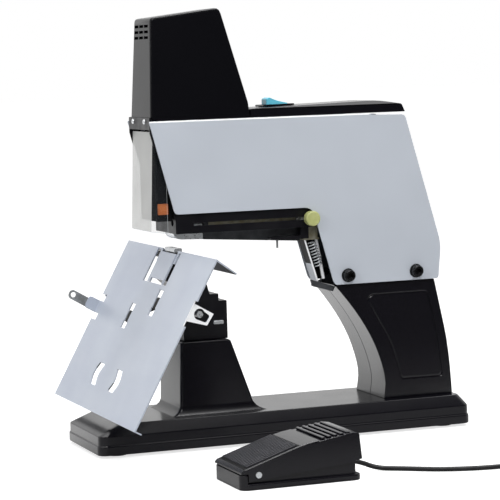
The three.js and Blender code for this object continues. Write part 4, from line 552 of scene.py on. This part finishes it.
rocker_blue = Finish("rocker_blue", srgb(116, 220, 246), 0.16)
rocker_blue.shader.inputs["Transmission Weight"].default_value = 0.12
rocker_blue.shader.inputs["IOR"].default_value = 1.49
rocker_blue.bump(rocker_blue.noise(1.5, 1), 0.008, 0.4)
rocker_blue.vary(rocker_blue.noise(8, 2), 0.14, 0.24, "Roughness")

# %% [markdown]
# Finishes of the electric pieces inside: enamelled copper wire, wound in level turns, and the green
# lacquer of a circuit board.

# %% Copper and board
winding_copper = Finish("winding_copper", srgb(176, 106, 58), 0.35, 0.8)
winding_copper.bump(winding_copper.noise(0.8, 1, stretch=(0.05, 0.05, 1)), 0.08, 0.9)
winding_copper.vary(winding_copper.noise(5, 2), srgb(164, 92, 46), srgb(190, 122, 74))

board_green = Finish("board_green", srgb(32, 98, 58), 0.5)
board_green.bump(board_green.noise(2, 2), 0.03, 0.6)
board_green.vary(board_green.noise(3, 2), srgb(26, 84, 48), srgb(44, 116, 70))

# %% [markdown]
# Clear guard. It is a thin moulded shield. Real glass shading would need many light bounces for a
# sheet this thin, so its sides are simply transparent, with a gloss that still gives reflections.
# The front is milky and gets a finish of its own. Cut edges of clear plastic catch the light, and
# that light is painted on them as a nearly white finish, a painted highlight.

# %% Clear plastic
guard_clear = Finish("guard_clear", srgb(64, 68, 73), 0.08)
guard_clear.shader.inputs["Alpha"].default_value = 0.1
guard_clear.shader.inputs["IOR"].default_value = 1.49
guard_clear.bump(guard_clear.noise(14, 1), 0.02, 0.3)
guard_clear.vary(guard_clear.noise(10, 2), 0.05, 0.13, "Roughness")

guard_front = Finish("guard_front", srgb(216, 217, 215), 0.3)
guard_front.shader.inputs["Alpha"].default_value = 0.8
guard_front.shader.inputs["IOR"].default_value = 1.49
guard_front.bump(guard_front.noise(9, 1), 0.01, 0.3)
guard_front.vary(guard_front.noise(40, 1), srgb(212, 213, 211), srgb(220, 221, 219))

# A painted highlight for the lit cut edges of the guard.
guard_rim_highlight = Finish("guard_rim_highlight", srgb(226, 232, 236), 0.15)
guard_rim_highlight.shader.inputs["Alpha"].default_value = 0.72
guard_rim_highlight.bump(guard_rim_highlight.noise(5, 1), 0.02, 0.3)

# %% [markdown]
# Cord sheath. Soft PVC with a dull shine and a very fine grain.

# %% Cord sheath
cord_sheath = Finish("cord_sheath", srgb(16, 16, 18), 0.5, specular=0.35)
cord_sheath.bump(cord_sheath.noise(0.7, 2), 0.02, 0.5)
cord_sheath.vary(cord_sheath.noise(12, 2), 0.44, 0.58, "Roughness")
wear(cord, cord_sheath)

# %% [markdown]
# Pieces whose shape the CAD model already has. Each gets its finish and rounded edges of its own
# size: large mouldings have 0.5 to 1 mm, small ones 0.3 mm, sheet metal a quarter of a millimetre.

# %% Dress the mouldings and the sheet metal
coats = [
    ("base_cover", moulded_black, 1.0),
    ("column_shell_near", column_black, 0.7),
    ("column_shell_far", column_black, 0.7),
    ("post_cover", moulded_black, 0.7),
    ("hood", hood_black, 0.5),
    ("arm_top_cover", moulded_black, 0.8),
    ("rear_cover", moulded_black, 0.6),
    ("power_inlet", moulded_black, 0.35),
    ("rocker_bezel", moulded_black, 0.3),
    ("pedal_base", moulded_black, 0.7),
    ("anvil_bracket", painted_black, 0.7),
    ("slide_channel", painted_black, 0.3),
    ("throat_lip", dark_plate, 0.4),
    ("guard_bracket", painted_black, 0.25),
    ("head_guide", inner_black, 0.5),
    ("margin_slider", bright_steel, 0.25),
    ("table_stop_pads", soft_black, 0.3),
    ("pedal_switch", inner_black, 0.3),
    ("table_plate", table_coat, 0.22),
    ("saddle_tongue", table_coat, 0.3),
    ("magazine", dark_plate, 0.4),
    ("magazine_nose", pale_zinc, 0.3),
    ("anvil", bright_steel, 0.15),
    ("margin_stop", plated_steel, 0.25),
    ("table_rod", bright_steel, 0.4),
    ("table_catch", plated_steel, 0.25),
    ("table_hinge_pin", bright_steel, 0.3),
    ("pedal_pin", bright_steel, 0.4),
    ("pedal_socket", bright_steel, 0.2),
    ("side_bumper", bumper_orange, 0.8),
    ("power_rocker", rocker_blue, 0.5),
    ("head_guard", guard_clear, 0.35),
]
shown = {node: wear(dressed(node, width), finish) for node, finish, width in coats}
print("dressed pieces:", len(shown))

# %% [markdown]
# Edges with a larger radius. Some long edges are rounder than the rest: the fold along the top of
# each side panel, and the sides of the treadle. They are selected by their place and rounded first,
# in edit mode, before all the others.

# %% Helper for rounder edges
def rounder(node, rule, radius, width):
    """Dresses a node. Edges whose ends and middle pass the rule get a radius of their own."""
    piece = dressed(node, 0)
    open_mesh(piece, "EDGE")
    mesh = bmesh.from_edit_mesh(piece.data)
    picked = 0
    for edge in mesh.edges:
        start, end = [vertex.co / MM for vertex in edge.verts]
        if rule(start) and rule(end) and rule((start + end) / 2):
            edge.select_set(True)
            picked += 1
    bmesh.update_edit_mesh(piece.data)
    bpy.ops.mesh.bevel(offset=radius * MM, segments=4, affect="EDGES")
    bpy.ops.object.mode_set(mode="OBJECT")
    rounded(piece, width, weld=True)
    print(node, "rounder edges:", picked)
    return piece


# %% [markdown]
# Side panels. The fold runs along the top as far as the hem goes. Its radius is a little less than
# the sheet is thick, so the bevel stays clear of the inner face. The fold faces the light, and its
# faces are painted nearly white, a painted highlight.

# %% Side panels with a folded top
FOLD_RADIUS = 1.35
FOLD_LOW = 327.5
HEM_LOW = 329.4
HEM_REAR = 105.6
OUTER_FACE = 36.8
INNER_FACE = 35


def on_hem_edge(at):
    return at.z > HEM_LOW and abs(at.y) > OUTER_FACE and at.x < HEM_REAR


def on_fold_highlight(at, normal):
    return abs(at.y) > INNER_FACE and at.x < HEM_REAR and at.z > FOLD_LOW and normal.z > 0.08


for node in ("arm_panel_near", "arm_panel_far"):
    panel = wear(rounder(node, on_hem_edge, FOLD_RADIUS, 0.25), panel_coat)
    # Painted highlight on the fold of each panel.
    paint(panel, painted_highlight_white, on_fold_highlight)

# %% [markdown]
# Treadle. Its top rises from the toe to a crest and on, less steeply, to the heel. The edges along
# its two sides are the ones a shoe slides over, so they are generously rounded and catch the light.
# The ground between the fine ribs of the slope is dull.

# %% Treadle with soft sides
TOE = Vector((-131, 0, 18.9))
CREST = Vector((-71, 0, 38.4))
HEEL = Vector((-24, 0, 44.4))
TREADLE_HALF = 36.35
RIM_DROP = 1.4
GROUND_REAR = CREST.x - 8


def on_treadle_rim(at):
    low, high = (TOE, CREST) if at.x < CREST.x else (CREST, HEEL)
    height = low.z + (at.x - low.x) / (high.x - low.x) * (high.z - low.z)
    on_side = abs(at.y - PEDAL_MIDDLE) > TREADLE_HALF - 0.1
    return on_side and at.z > height - RIM_DROP and TOE.x + 1 < at.x < HEEL.x - 1


treadle = wear(rounder("pedal_treadle", on_treadle_rim, 1.5, 0.5), moulded_black)
paint(treadle, inner_black, lambda at, normal: at.x < GROUND_REAR and normal.z > 0.9)

# %% [markdown]
# One moulding, three looks. The guard's front faces are milky, its bottom and rear edges carry a
# painted highlight in a nearly white finish, and the rest stays clear. The faces are told apart by
# where they point and lie.

# %% Front and edges of the guard
GUARD_FRONT = -127.5
GUARD_REAR = -115.4
GUARD_LOW = 219.6


def on_guard_highlight(at, normal):
    return at.z < GUARD_LOW or (at.x > GUARD_REAR and normal.x > 0.9)


guard = shown["head_guard"]
paint(guard, guard_front, lambda at, normal: normal.x < -0.9 and at.x < GUARD_FRONT)
# Painted highlight on the bottom and rear edges of the guard.
paint(guard, guard_rim_highlight, on_guard_highlight)

# %% [markdown]
# The near ear of the table faces the light, and its near face is painted nearly white, a painted
# highlight. The end of the rod that it carries is bare and bright, and the rod's side is blackened.
# The faces of the rear flange that turn down and forward are painted dark, a painted shade and
# reflection of the dark room, over the table's own coat.

# %% Ear of the table and end of its rod
EAR_NEAR = -137
table = shown["table_plate"]
# Painted highlight on the near face of the ear.
paint(table, painted_highlight_white, lambda at, normal: normal.y < -0.9 and abs(at.y - EAR_NEAR) < 1)
# Painted shade and reflection: the flange's faces that turn down and forward are painted dark.
paint(table, dark_plate, lambda at, normal: normal.x < -0.2 and normal.z < -0.2)
paint(shown["table_rod"], black_oxide, lambda at, normal: abs(normal.y) < 0.5)

# %% [markdown]
# The margin stop is plated steel. Its foot and riser are painted black, a painted shade; the pin,
# the part below the foot, keeps the plating.

# %% Pin of the margin stop
PIN_TOP = 203.4
# Painted shade on the foot and riser above the pin.
paint(shown["margin_stop"], painted_black, lambda at, normal: at.z > PIN_TOP)

# %% [markdown]
# The bracket in the throat is one folded part in khaki zinc, and its cap keeps that finish. Below
# the cap the rod behind and the near edges carry a painted highlight, the lower half of the front
# flange is painted pale as lit, and the rest of the flange and the web is painted dull black as
# shade. The mesh is cut where the painted shade meets the painted light, and the finish is chosen
# face by face.

# %% Throat bracket
CAP_LOW = 201.9
# Height at which the flange's painted shade above meets its painted light below.
FLANGE_SHADE_LINE = 177
ROD_FRONT = 46.5
ROD_Y = -21
ROD_REACH = 2.4
EDGE_Y = -24


def on_throat_painted_highlight(at, normal):
    on_rod = at.x > ROD_FRONT and abs(at.y - ROD_Y) < ROD_REACH
    on_edge = normal.y < -0.7 and at.y < EDGE_Y
    return at.z < CAP_LOW and (on_rod or on_edge)


bracket = wear(dressed("throat_bracket", 0.2), khaki_zinc)
open_mesh(bracket)
bpy.ops.mesh.select_all(action="SELECT")
bpy.ops.mesh.bisect(plane_co=(0, 0, FLANGE_SHADE_LINE * MM), plane_no=(0, 0, 1))
bpy.ops.object.mode_set(mode="OBJECT")
# Painted highlight: the rod and the near edges below the cap are painted nearly white.
paint(bracket, painted_highlight_white, on_throat_painted_highlight)
# Painted light: the front faces of the flange below the shade line are painted pale, as lit.
paint(bracket, panel_coat, lambda at, normal: at.z < FLANGE_SHADE_LINE and normal.x < -0.6)
# Painted shade: the rest of the bracket below the cap is painted dull black.
paint(bracket, inner_black, lambda at, normal: at.z < CAP_LOW)

# %% [markdown]
# Inner pieces. They hide behind covers, yet the frame plates, the winding and the board can be
# seen through the vents or when a cover is left out, so they get real finishes on their CAD meshes.

# %% Finish the inner pieces
inner_finishes = {
    "base_plate": dark_plate, "frame_plate_near": dark_plate, "frame_plate_far": dark_plate,
    "solenoid_frame": dark_plate, "solenoid_winding": winding_copper, "plunger": bright_steel,
    "driver_blade": bright_steel, "control_board": board_green, "staple_strip": bright_steel,
    "staple_pusher": plated_steel,
}
for node, finish in inner_finishes.items():
    wear(frame["nodes"][node], finish)
print("inner pieces:", len(inner_finishes))

# %% [markdown]
# A round piece pulled up from a disc. Screws, feet, the knob, the plug and the strain relief are
# all turned or moulded round an axis. Starting from a disc, the face is extruded by each step of
# the profile and scaled to the next radius, as one would do by hand with E and S.

# %% Helper for round pieces
def stacked(name, stations, sides=32):
    """A closed round piece along +Z from stations of (height, radius) in millimetres."""
    height, radius = stations[0]
    bpy.ops.object.select_all(action="DESELECT")
    bpy.ops.mesh.primitive_circle_add(
        vertices=sides, radius=radius * MM, fill_type="NGON", location=(0, 0, height * MM))
    piece = bpy.context.object
    bpy.ops.object.transform_apply(location=True)
    open_mesh(piece)
    bpy.ops.mesh.select_all(action="SELECT")
    for next_height, next_radius in stations[1:]:
        rise = (next_height - height) * MM
        bpy.ops.mesh.extrude_region_move(TRANSFORM_OT_translate={"value": (0, 0, rise)})
        if next_radius != radius:
            ratio = next_radius / radius
            bpy.ops.transform.resize(
                value=(ratio, ratio, 1), center_override=(0, 0, next_height * MM))
        height, radius = next_height, next_radius
    bpy.ops.mesh.select_all(action="SELECT")
    bpy.ops.mesh.normals_make_consistent(inside=False)
    bpy.ops.object.mode_set(mode="OBJECT")
    piece.name = name
    return piece


def set_down(piece, name, place, towards=(0, 0, 1)):
    """Turns the piece's +Z to a direction and puts its origin at a place, then applies both."""
    piece.rotation_mode = "QUATERNION"
    piece.rotation_quaternion = Vector((0, 0, 1)).rotation_difference(Vector(towards))
    piece.location = Vector(place) * MM
    settle(piece, name)
    return piece


# %% [markdown]
# Panel screws. Each panel is held by two black socket screws on broad dished washers. The hexagon
# socket is cut with a Boolean, because the six flats then stay true whatever the head's sides are.

# %% Panel screws
SCREW_PROFILE = [(-14, 3.9), (0, 3.9), (0.01, 7.2), (0.7, 7.2), (1.5, 6.7), (1.51, 6), (6, 6),
                 (7.2, 5.2), (7.5, 4.6)]
SCREW_PLACES = [(76.3, 164), (152.8, 164.2)]
SCREW_SEAT = 37
SOCKET_RADIUS = 3.5
SOCKET_DEPTH = 9
SOCKET_MIDDLE = 7.6


def socket_screw(name):
    head = stacked(name, SCREW_PROFILE, 40)
    bpy.ops.object.select_all(action="DESELECT")
    bpy.ops.mesh.primitive_cylinder_add(
        vertices=6, radius=SOCKET_RADIUS * MM, depth=SOCKET_DEPTH * MM,
        location=(0, 0, SOCKET_MIDDLE * MM))
    cutter = bpy.context.object
    only(head)
    hollow = head.modifiers.new("socket", "BOOLEAN")
    hollow.operation = "DIFFERENCE"
    hollow.solver = "EXACT"
    hollow.object = cutter
    bpy.ops.object.modifier_apply(modifier=hollow.name)
    bpy.data.objects.remove(cutter)
    rounded(head, 0.18, 40)
    return head


for side, across in (("near", -1), ("far", 1)):
    for number, (x, z) in enumerate(SCREW_PLACES, start=1):
        node = "panel_screw_%s_%d" % (side, number)
        name = node + "_head"
        screw = set_down(socket_screw(name), name, (x, SCREW_SEAT * across, z), (0, across, 0))
        stand_in(wear(screw, black_oxide), node)
        print("screw:", name)

# %% [markdown]
# Clamping knob. A moulded cap with a fine grip round its rim. Every other side face is pushed out a
# little to make the grip, and the front face is inset and pressed in for a shallow dish.

# %% Clamping knob
KNOB_PROFILE = [(0, 4.4), (3.4, 4.4), (3.41, 7.1), (4.2, 7.7), (11, 7.7), (12, 6.4)]
KNOB_SIDES = 48
KNOB_PLACE = (36.5, -33.9, 225)
GRIP_FROM, GRIP_TO = 4.3, 10.9
GRIP_HEIGHT = 0.2
DISH_RIM = 1.6
DISH_DEPTH = 0.4


def on_grip(centre, normal):
    if not GRIP_FROM * MM < centre.z < GRIP_TO * MM or abs(normal.z) > 0.1:
        return False
    step = 2 * math.pi / KNOB_SIDES
    return round(math.atan2(centre.y, centre.x) / step - 0.5) % 2 == 0


def clamping_knob():
    knob = stacked("knob", KNOB_PROFILE, KNOB_SIDES)
    open_mesh(knob)
    picked = pick(on_grip)
    bpy.ops.mesh.extrude_faces_move(TRANSFORM_OT_shrink_fatten={"value": -GRIP_HEIGHT * MM})
    bpy.ops.mesh.select_all(action="DESELECT")
    pick(lambda centre, normal: normal.z > 0.9 and centre.z > 11.9 * MM)
    bpy.ops.mesh.inset(thickness=DISH_RIM * MM)
    bpy.ops.transform.translate(value=(0, 0, -DISH_DEPTH * MM))
    bpy.ops.object.mode_set(mode="OBJECT")
    print("grip faces on the knob:", picked)
    rounded(knob, 0.12, 35)
    return knob


knob = set_down(clamping_knob(), "margin_knob_cap", KNOB_PLACE, (0, -1, 0))
stand_in(wear(knob, knob_green), "margin_knob")

# %% [markdown]
# Feet. Four rubber discs under the base, rounded where they meet the desk.

# %% Feet
FOOT_PROFILE = [(0, 10.6), (0.5, 11.6), (1.2, 12), (2.9, 12)]
for node in ("foot_front_near", "foot_front_far", "foot_rear_near", "foot_rear_far"):
    low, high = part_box(node)
    middle = (low + high) / 2 / MM
    foot = stacked(node + "_pad", FOOT_PROFILE, 40)
    set_down(foot, node + "_pad", (middle.x, middle.y, 0))
    rounded(foot, 0.2, 40)
    stand_in(wear(foot, soft_black), node)
    print("foot at:", round(middle.x, 1), round(middle.y, 1))

# %% [markdown]
# Spring in the throat. A Screw modifier carries a small wire ring round and along the axis at the
# same time, which is how a spring is wound.

# %% Throat spring
SPRING_TURNS = 8
SPRING_STEPS = 24
SPRING_RADIUS = 3.6
SPRING_WIRE = 0.7
SPRING_TOP = Vector((41.2, -26.2, 199.4))
SPRING_FOOT = Vector((48.6, -26.2, 175.4))
spring_pitch = (SPRING_FOOT - SPRING_TOP).length / SPRING_TURNS

bpy.ops.object.select_all(action="DESELECT")
bpy.ops.mesh.primitive_circle_add(
    vertices=10, radius=SPRING_WIRE * MM, location=(SPRING_RADIUS * MM, 0, 0),
    rotation=(math.radians(90), 0, 0))
spring = bpy.context.object
bpy.ops.object.transform_apply(location=True, rotation=True)
winding = spring.modifiers.new("winding", "SCREW")
winding.axis = "Z"
winding.angle = 2 * math.pi
winding.screw_offset = spring_pitch * MM
winding.iterations = SPRING_TURNS
winding.steps = SPRING_STEPS
winding.render_steps = SPRING_STEPS
winding.use_merge_vertices = False
bpy.ops.object.modifier_apply(modifier=winding.name)
open_mesh(spring, "EDGE")
bpy.ops.mesh.select_non_manifold()
bpy.ops.mesh.fill_holes(sides=0)
bpy.ops.mesh.select_all(action="SELECT")
bpy.ops.mesh.normals_make_consistent(inside=False)
bpy.ops.object.mode_set(mode="OBJECT")
bpy.ops.object.shade_smooth_by_angle(angle=math.radians(50))
set_down(spring, "throat_spring_coil", SPRING_TOP, SPRING_FOOT - SPRING_TOP)
stand_in(wear(spring, bright_steel), "throat_spring")
print("spring pitch in millimetres:", round(spring_pitch, 2))

# %% [markdown]
# Strain relief. It is a soft sleeve with ribs that get thinner along the cord, so that the cord
# bends gently where it leaves the pedal.

# %% Strain relief
RELIEF_PROFILE = [
    (0, 3.4), (4, 3.4), (4.1, 4.2), (5.8, 4.2), (6, 3.4), (6.8, 3.35), (6.9, 2.9), (7.4, 2.9),
    (7.5, 3.25), (8.5, 3.2), (8.6, 2.8), (9.1, 2.8), (9.2, 3.1), (10.2, 3.0), (10.3, 2.7),
    (10.9, 2.7), (11, 2.95), (12, 2.8),
]
RELIEF_PLACE = (-24.2, PEDAL_MIDDLE, 10.6)
relief = stacked("relief", RELIEF_PROFILE, 28)
set_down(relief, "pedal_relief_sleeve", RELIEF_PLACE, (1, 0, 0))
rounded(relief, 0.12, 40)
stand_in(wear(relief, soft_black), "pedal_strain_relief")
print("strain relief faces:", len(relief.data.polygons))

# %% [markdown]
# Plug. A small round connector with a grooved grip and a bare metal barrel, at the cord's far end.
# It points where the cord's last step points, laid level.

# %% Plug and the whole cord
PLUG_PROFILE = [
    (0, 3.05), (1.5, 3.3), (7, 4.05), (9, 5.7), (11, 6), (12.6, 6), (12.8, 5.6), (13.8, 5.6),
    (14, 6), (15.6, 6), (15.8, 5.6), (16.8, 5.6), (17, 6), (18.6, 6), (18.8, 5.6), (19.8, 5.6),
    (20, 6), (27, 6), (28, 5.2), (28.1, 4.8), (35.4, 4.8), (36, 4.3),
]
BARREL_FROM = 28.2
cord_end = cord_line[-1]
heading = cord_end - cord_line[-2]
heading.z = 0
heading.normalize()
plug_grip = stacked("plug", PLUG_PROFILE, 32)
set_down(plug_grip, "pedal_plug_body", cord_end + heading * 0.3, heading)
rounded(plug_grip, 0.15, 40)
stand_in(wear(plug_grip, moulded_black), "pedal_plug")
paint(plug_grip, bright_steel, lambda at, normal: (at - cord_end).dot(heading) > BARREL_FROM)

# %% [markdown]
# Ribs of the treadle. The sloping front carries fine ribs that run up the slope, then comes a
# smooth band and, where the foot presses, broad ridges across. One rib is modelled for each kind
# and an Array repeats it.

# %% Treadle ribs
def rib_row(name, size, place, lean, count, offset, width, finish):
    bpy.ops.object.select_all(action="DESELECT")
    bpy.ops.mesh.primitive_cube_add(
        size=1, location=Vector(place) * MM, rotation=(0, math.radians(lean), 0),
        scale=Vector(size) * MM)
    rib = bpy.context.object
    bpy.ops.object.transform_apply(location=True, rotation=True, scale=True)
    rounded(rib, width, 40)
    row = rib.modifiers.new("row", "ARRAY")
    row.count = count
    row.use_relative_offset = False
    row.use_constant_offset = True
    row.constant_offset_displace = Vector(offset) * MM
    bpy.ops.object.modifier_apply(modifier=row.name)
    settle(rib, name)
    wear(rib, finish)
    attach(rib, home["pedal_treadle"])
    print(name + ":", count)


FINE_STEP = 4.52
RIDGE_STEP = 6.1
SLOPE = math.degrees(math.atan2(CREST.z - TOE.z, CREST.x - TOE.x))
CROWN = math.degrees(math.atan2(HEEL.z - CREST.z, HEEL.x - CREST.x))
ridge_rise = RIDGE_STEP * math.tan(math.radians(CROWN))
rib_row("treadle_fine_ribs", (52, 2, 2.4), (-102.5, -274.9, 28.45), -SLOPE,
        15, (0, FINE_STEP, 0), 0.7, rib_painted_sheen)
rib_row("treadle_ridges", (3.1, 68, 2), (-51.4, PEDAL_MIDDLE, 41.1), -CROWN,
        5, (RIDGE_STEP, 0, ridge_rise), 0.8, moulded_black)

# %% [markdown]
# Small bars. A bright key lies in the slot of the anvil block, a dull black bar stands in the slot
# of the post as painted shade for that shallow recess, a scale strip shows through the slot of the
# channel, and three pins stand in the inlet. They are cubes stretched to their real size and rounded
# on every edge.

# %% Bars with rounded edges
def bar_piece(name, low, high, width, finish, body):
    low, high = Vector(low), Vector(high)
    bpy.ops.object.select_all(action="DESELECT")
    bpy.ops.mesh.primitive_cube_add(size=1, location=(low + high) / 2 * MM, scale=(high - low) * MM)
    piece = bpy.context.object
    settle(piece, name)
    rounded(piece, width, 40, segments=3)
    wear(piece, finish)
    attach(piece, body)
    print("bar:", name)


bar_piece("anvil_key", (-68, -27, 121.8), (-57, -20, 125.8), 1.1, bright_steel,
          home["anvil_bracket"])
# Painted shade: a dull black bar in the post's slot stands for the shade in the recess.
bar_piece("post_slot_painted_shade", (-106.2, -20.6, 49), (-104, -18.6, 55), 0.6, soft_black,
          home["post_cover"])
bar_piece("scale_strip", (-66, -14.7, 219.5), (29, -14, 229), 0.2, khaki_zinc,
          home["magazine"])
for number, (y, z) in enumerate(((-13, 164.5), (-3, 164.5), (-8, 173)), start=1):
    bar_piece("inlet_pin_%d" % number, (174.5, y - 1, z - 2), (180.5, y + 1, z + 2), 0.5,
              bright_steel, home["power_inlet"])

# %% [markdown]
# Screws of the guard bracket. Two pale pan-head screws: a turned profile, with a small round recess
# pressed into the head.

# %% Screws of the guard bracket
PAN_PROFILE = [(-1.5, 1.4), (0, 1.4), (0.01, 2.6), (0.7, 2.55), (1.4, 2.1), (1.8, 1.3)]
PAN_PLACE = (-131.6, 18.6, 329.3)


def pan_screw(name, place, towards, node):
    screw = stacked("pan", PAN_PROFILE, 28)
    open_mesh(screw)
    pick(lambda centre, normal: normal.z > 0.9 and centre.z > 1.7 * MM)
    bpy.ops.mesh.inset(thickness=0.4 * MM)
    bpy.ops.mesh.extrude_region_move(TRANSFORM_OT_translate={"value": (0, 0, -0.6 * MM)})
    bpy.ops.object.mode_set(mode="OBJECT")
    set_down(screw, name, place, towards)
    rounded(screw, 0.1, 35)
    wear(screw, pale_zinc)
    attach(screw, home[node])
    print("screw:", name)


for side, across in (("near", -1), ("far", 1)):
    place = (PAN_PLACE[0], PAN_PLACE[1] * across, PAN_PLACE[2])
    pan_screw("bracket_screw_" + side, place, (-1, 0, 0), "guard_bracket")

# %% [markdown]
# Studio floor. A large plane starts a little in front of the pedal and runs far back. It takes the
# machine's shadow.

# %% Floor
FLOOR_SIZE = 24
FLOOR_NEAR_EDGE = -0.47
FLOOR_MIDDLE = FLOOR_NEAR_EDGE + FLOOR_SIZE / 2
bpy.ops.object.select_all(action="DESELECT")
bpy.ops.mesh.primitive_plane_add(size=FLOOR_SIZE, location=(0, FLOOR_MIDDLE, 0))
floor = bpy.context.object
floor.name = "studio_floor"
floor_paint = Finish("studio_floor_paint", (0.6, 0.6, 0.6, 1), 0.9, specular=0.0)
wear(floor, floor_paint)
print("floor begins at:", FLOOR_NEAR_EDGE)

# %% [markdown]
# Glow of the floor. It is white to the camera and through clear pieces, because a glow is added for
# those rays alone, so no more light falls on the machine. In a reflection it is bright behind the
# machine and dim on the near side, which keeps the lower part of the base's near side deep. The
# place on the floor decides this, and not the place of the camera.

# %% Glow of the floor
FLOOR_GLOW = 0.72
NEAR_GLOSS = 0.1
DIM_UP_TO = -0.06
BRIGHT_FROM = 0.12
glow_nodes = floor_paint.nodes
rays = add_node(glow_nodes, "ShaderNodeLightPath")
on_floor = add_node(glow_nodes, "ShaderNodeTexCoord")
floor_axes = add_node(glow_nodes, "ShaderNodeSeparateXYZ")
behind = add_range(glow_nodes, DIM_UP_TO - FLOOR_MIDDLE, BRIGHT_FROM - FLOOR_MIDDLE,
                   NEAR_GLOSS, 1.0)
in_gloss = add_node(glow_nodes, "ShaderNodeMath", operation="MULTIPLY")
direct = add_node(glow_nodes, "ShaderNodeMath", operation="MAXIMUM")
looked_at = add_node(glow_nodes, "ShaderNodeMath", operation="MAXIMUM")
lift = add_node(glow_nodes, "ShaderNodeMath", operation="MULTIPLY")
lift.inputs[1].default_value = FLOOR_GLOW
glow = add_node(glow_nodes, "ShaderNodeEmission", Color=(1, 1, 1, 1))
mixed = add_node(glow_nodes, "ShaderNodeAddShader")
for output, socket in (
    (on_floor.outputs["Object"], floor_axes.inputs["Vector"]),
    (floor_axes.outputs["Y"], behind.inputs["Value"]),
    (rays.outputs["Is Glossy Ray"], in_gloss.inputs[0]),
    (behind.outputs["Result"], in_gloss.inputs[1]),
    (rays.outputs["Is Camera Ray"], direct.inputs[0]),
    (rays.outputs["Is Transmission Ray"], direct.inputs[1]),
    (direct.outputs[0], looked_at.inputs[0]),
    (in_gloss.outputs[0], looked_at.inputs[1]),
    (looked_at.outputs[0], lift.inputs[0]),
    (lift.outputs[0], glow.inputs["Strength"]),
    (floor_paint.shader.outputs[0], mixed.inputs[0]),
    (glow.outputs[0], mixed.inputs[1]),
    (mixed.outputs[0], glow_nodes["Material Output"].inputs["Surface"]),
):
    floor_paint.links.new(output, socket)
print("glow of the floor:", FLOOR_GLOW)

# %% [markdown]
# World. The camera and clear pieces see plain white all round. Glossy pieces see the white backdrop
# behind the machine and a darker room on the near side, as in a photographer's studio, which is what
# keeps the near black faces deep and lets the front faces shine. They also see a bright panel
# overhead, which gives the level black faces their pale sheen. Everything else gets even light.

# %% World light
ROOM_LIGHT = 0.5
DARK_ROOM = 0.06
OVERHEAD_LIGHT = 3.0
world = bpy.data.worlds.new("studio_world")
scene.world = world
world.use_nodes = True
sky = world.node_tree.nodes
backdrop = sky["Background"]
backdrop.inputs["Color"].default_value = (1, 1, 1, 1)
paths = add_node(sky, "ShaderNodeLightPath")
direction = add_node(sky, "ShaderNodeTexCoord")
sky_axes = add_node(sky, "ShaderNodeSeparateXYZ")
room = add_range(sky, -0.35, 0.25, DARK_ROOM, 1.0)
overhead = add_range(sky, 0.72, 0.95, 0.0, OVERHEAD_LIGHT)
reflected = add_node(sky, "ShaderNodeMath", operation="ADD")
glossy = add_node(sky, "ShaderNodeMix", A=ROOM_LIGHT)
seen = add_node(sky, "ShaderNodeMath", operation="MAXIMUM")
strength = add_node(sky, "ShaderNodeMix", B=1.0)
for output, socket in (
    (direction.outputs["Generated"], sky_axes.inputs["Vector"]),
    (sky_axes.outputs["Y"], room.inputs["Value"]),
    (sky_axes.outputs["Z"], overhead.inputs["Value"]),
    (room.outputs["Result"], reflected.inputs[0]),
    (overhead.outputs["Result"], reflected.inputs[1]),
    (paths.outputs["Is Glossy Ray"], glossy.inputs["Factor"]),
    (reflected.outputs[0], glossy.inputs["B"]),
    (paths.outputs["Is Camera Ray"], seen.inputs[0]),
    (paths.outputs["Is Transmission Ray"], seen.inputs[1]),
    (seen.outputs[0], strength.inputs["Factor"]),
    (glossy.outputs["Result"], strength.inputs["A"]),
    (strength.outputs["Result"], backdrop.inputs["Strength"]),
):
    world.node_tree.links.new(output, socket)
print("room light:", ROOM_LIGHT)

# %% [markdown]
# Lamps. Three large soft lamps stand beyond the front end, overhead, and high on the near side.
# Each is larger than the machine, and that is what makes the shadows soft.

# %% Lamps
def soft_lamp(name, place, aim, size, power):
    bpy.ops.object.light_add(type="AREA", location=place)
    lamp = bpy.context.object
    lamp.name = name
    lamp.data.shape = "SQUARE"
    lamp.data.size = size
    lamp.data.energy = power
    lamp.rotation_mode = "QUATERNION"
    lamp.rotation_quaternion = (Vector(place) - Vector(aim)).to_track_quat("Z", "Y")
    print(name, "watts:", power)


soft_lamp("lamp_front", (-1.9, -1.2, 1.2), (0, 0, 0.2), 0.9, 11)
soft_lamp("lamp_top", (0.2, 0.1, 1.9), (0, 0, 0), 0.65, 19)
soft_lamp("lamp_near_high", (-0.1, -1.8, 1.6), (0, 0, 0.2), 0.8, 20)
scene.view_settings.view_transform = "Standard"
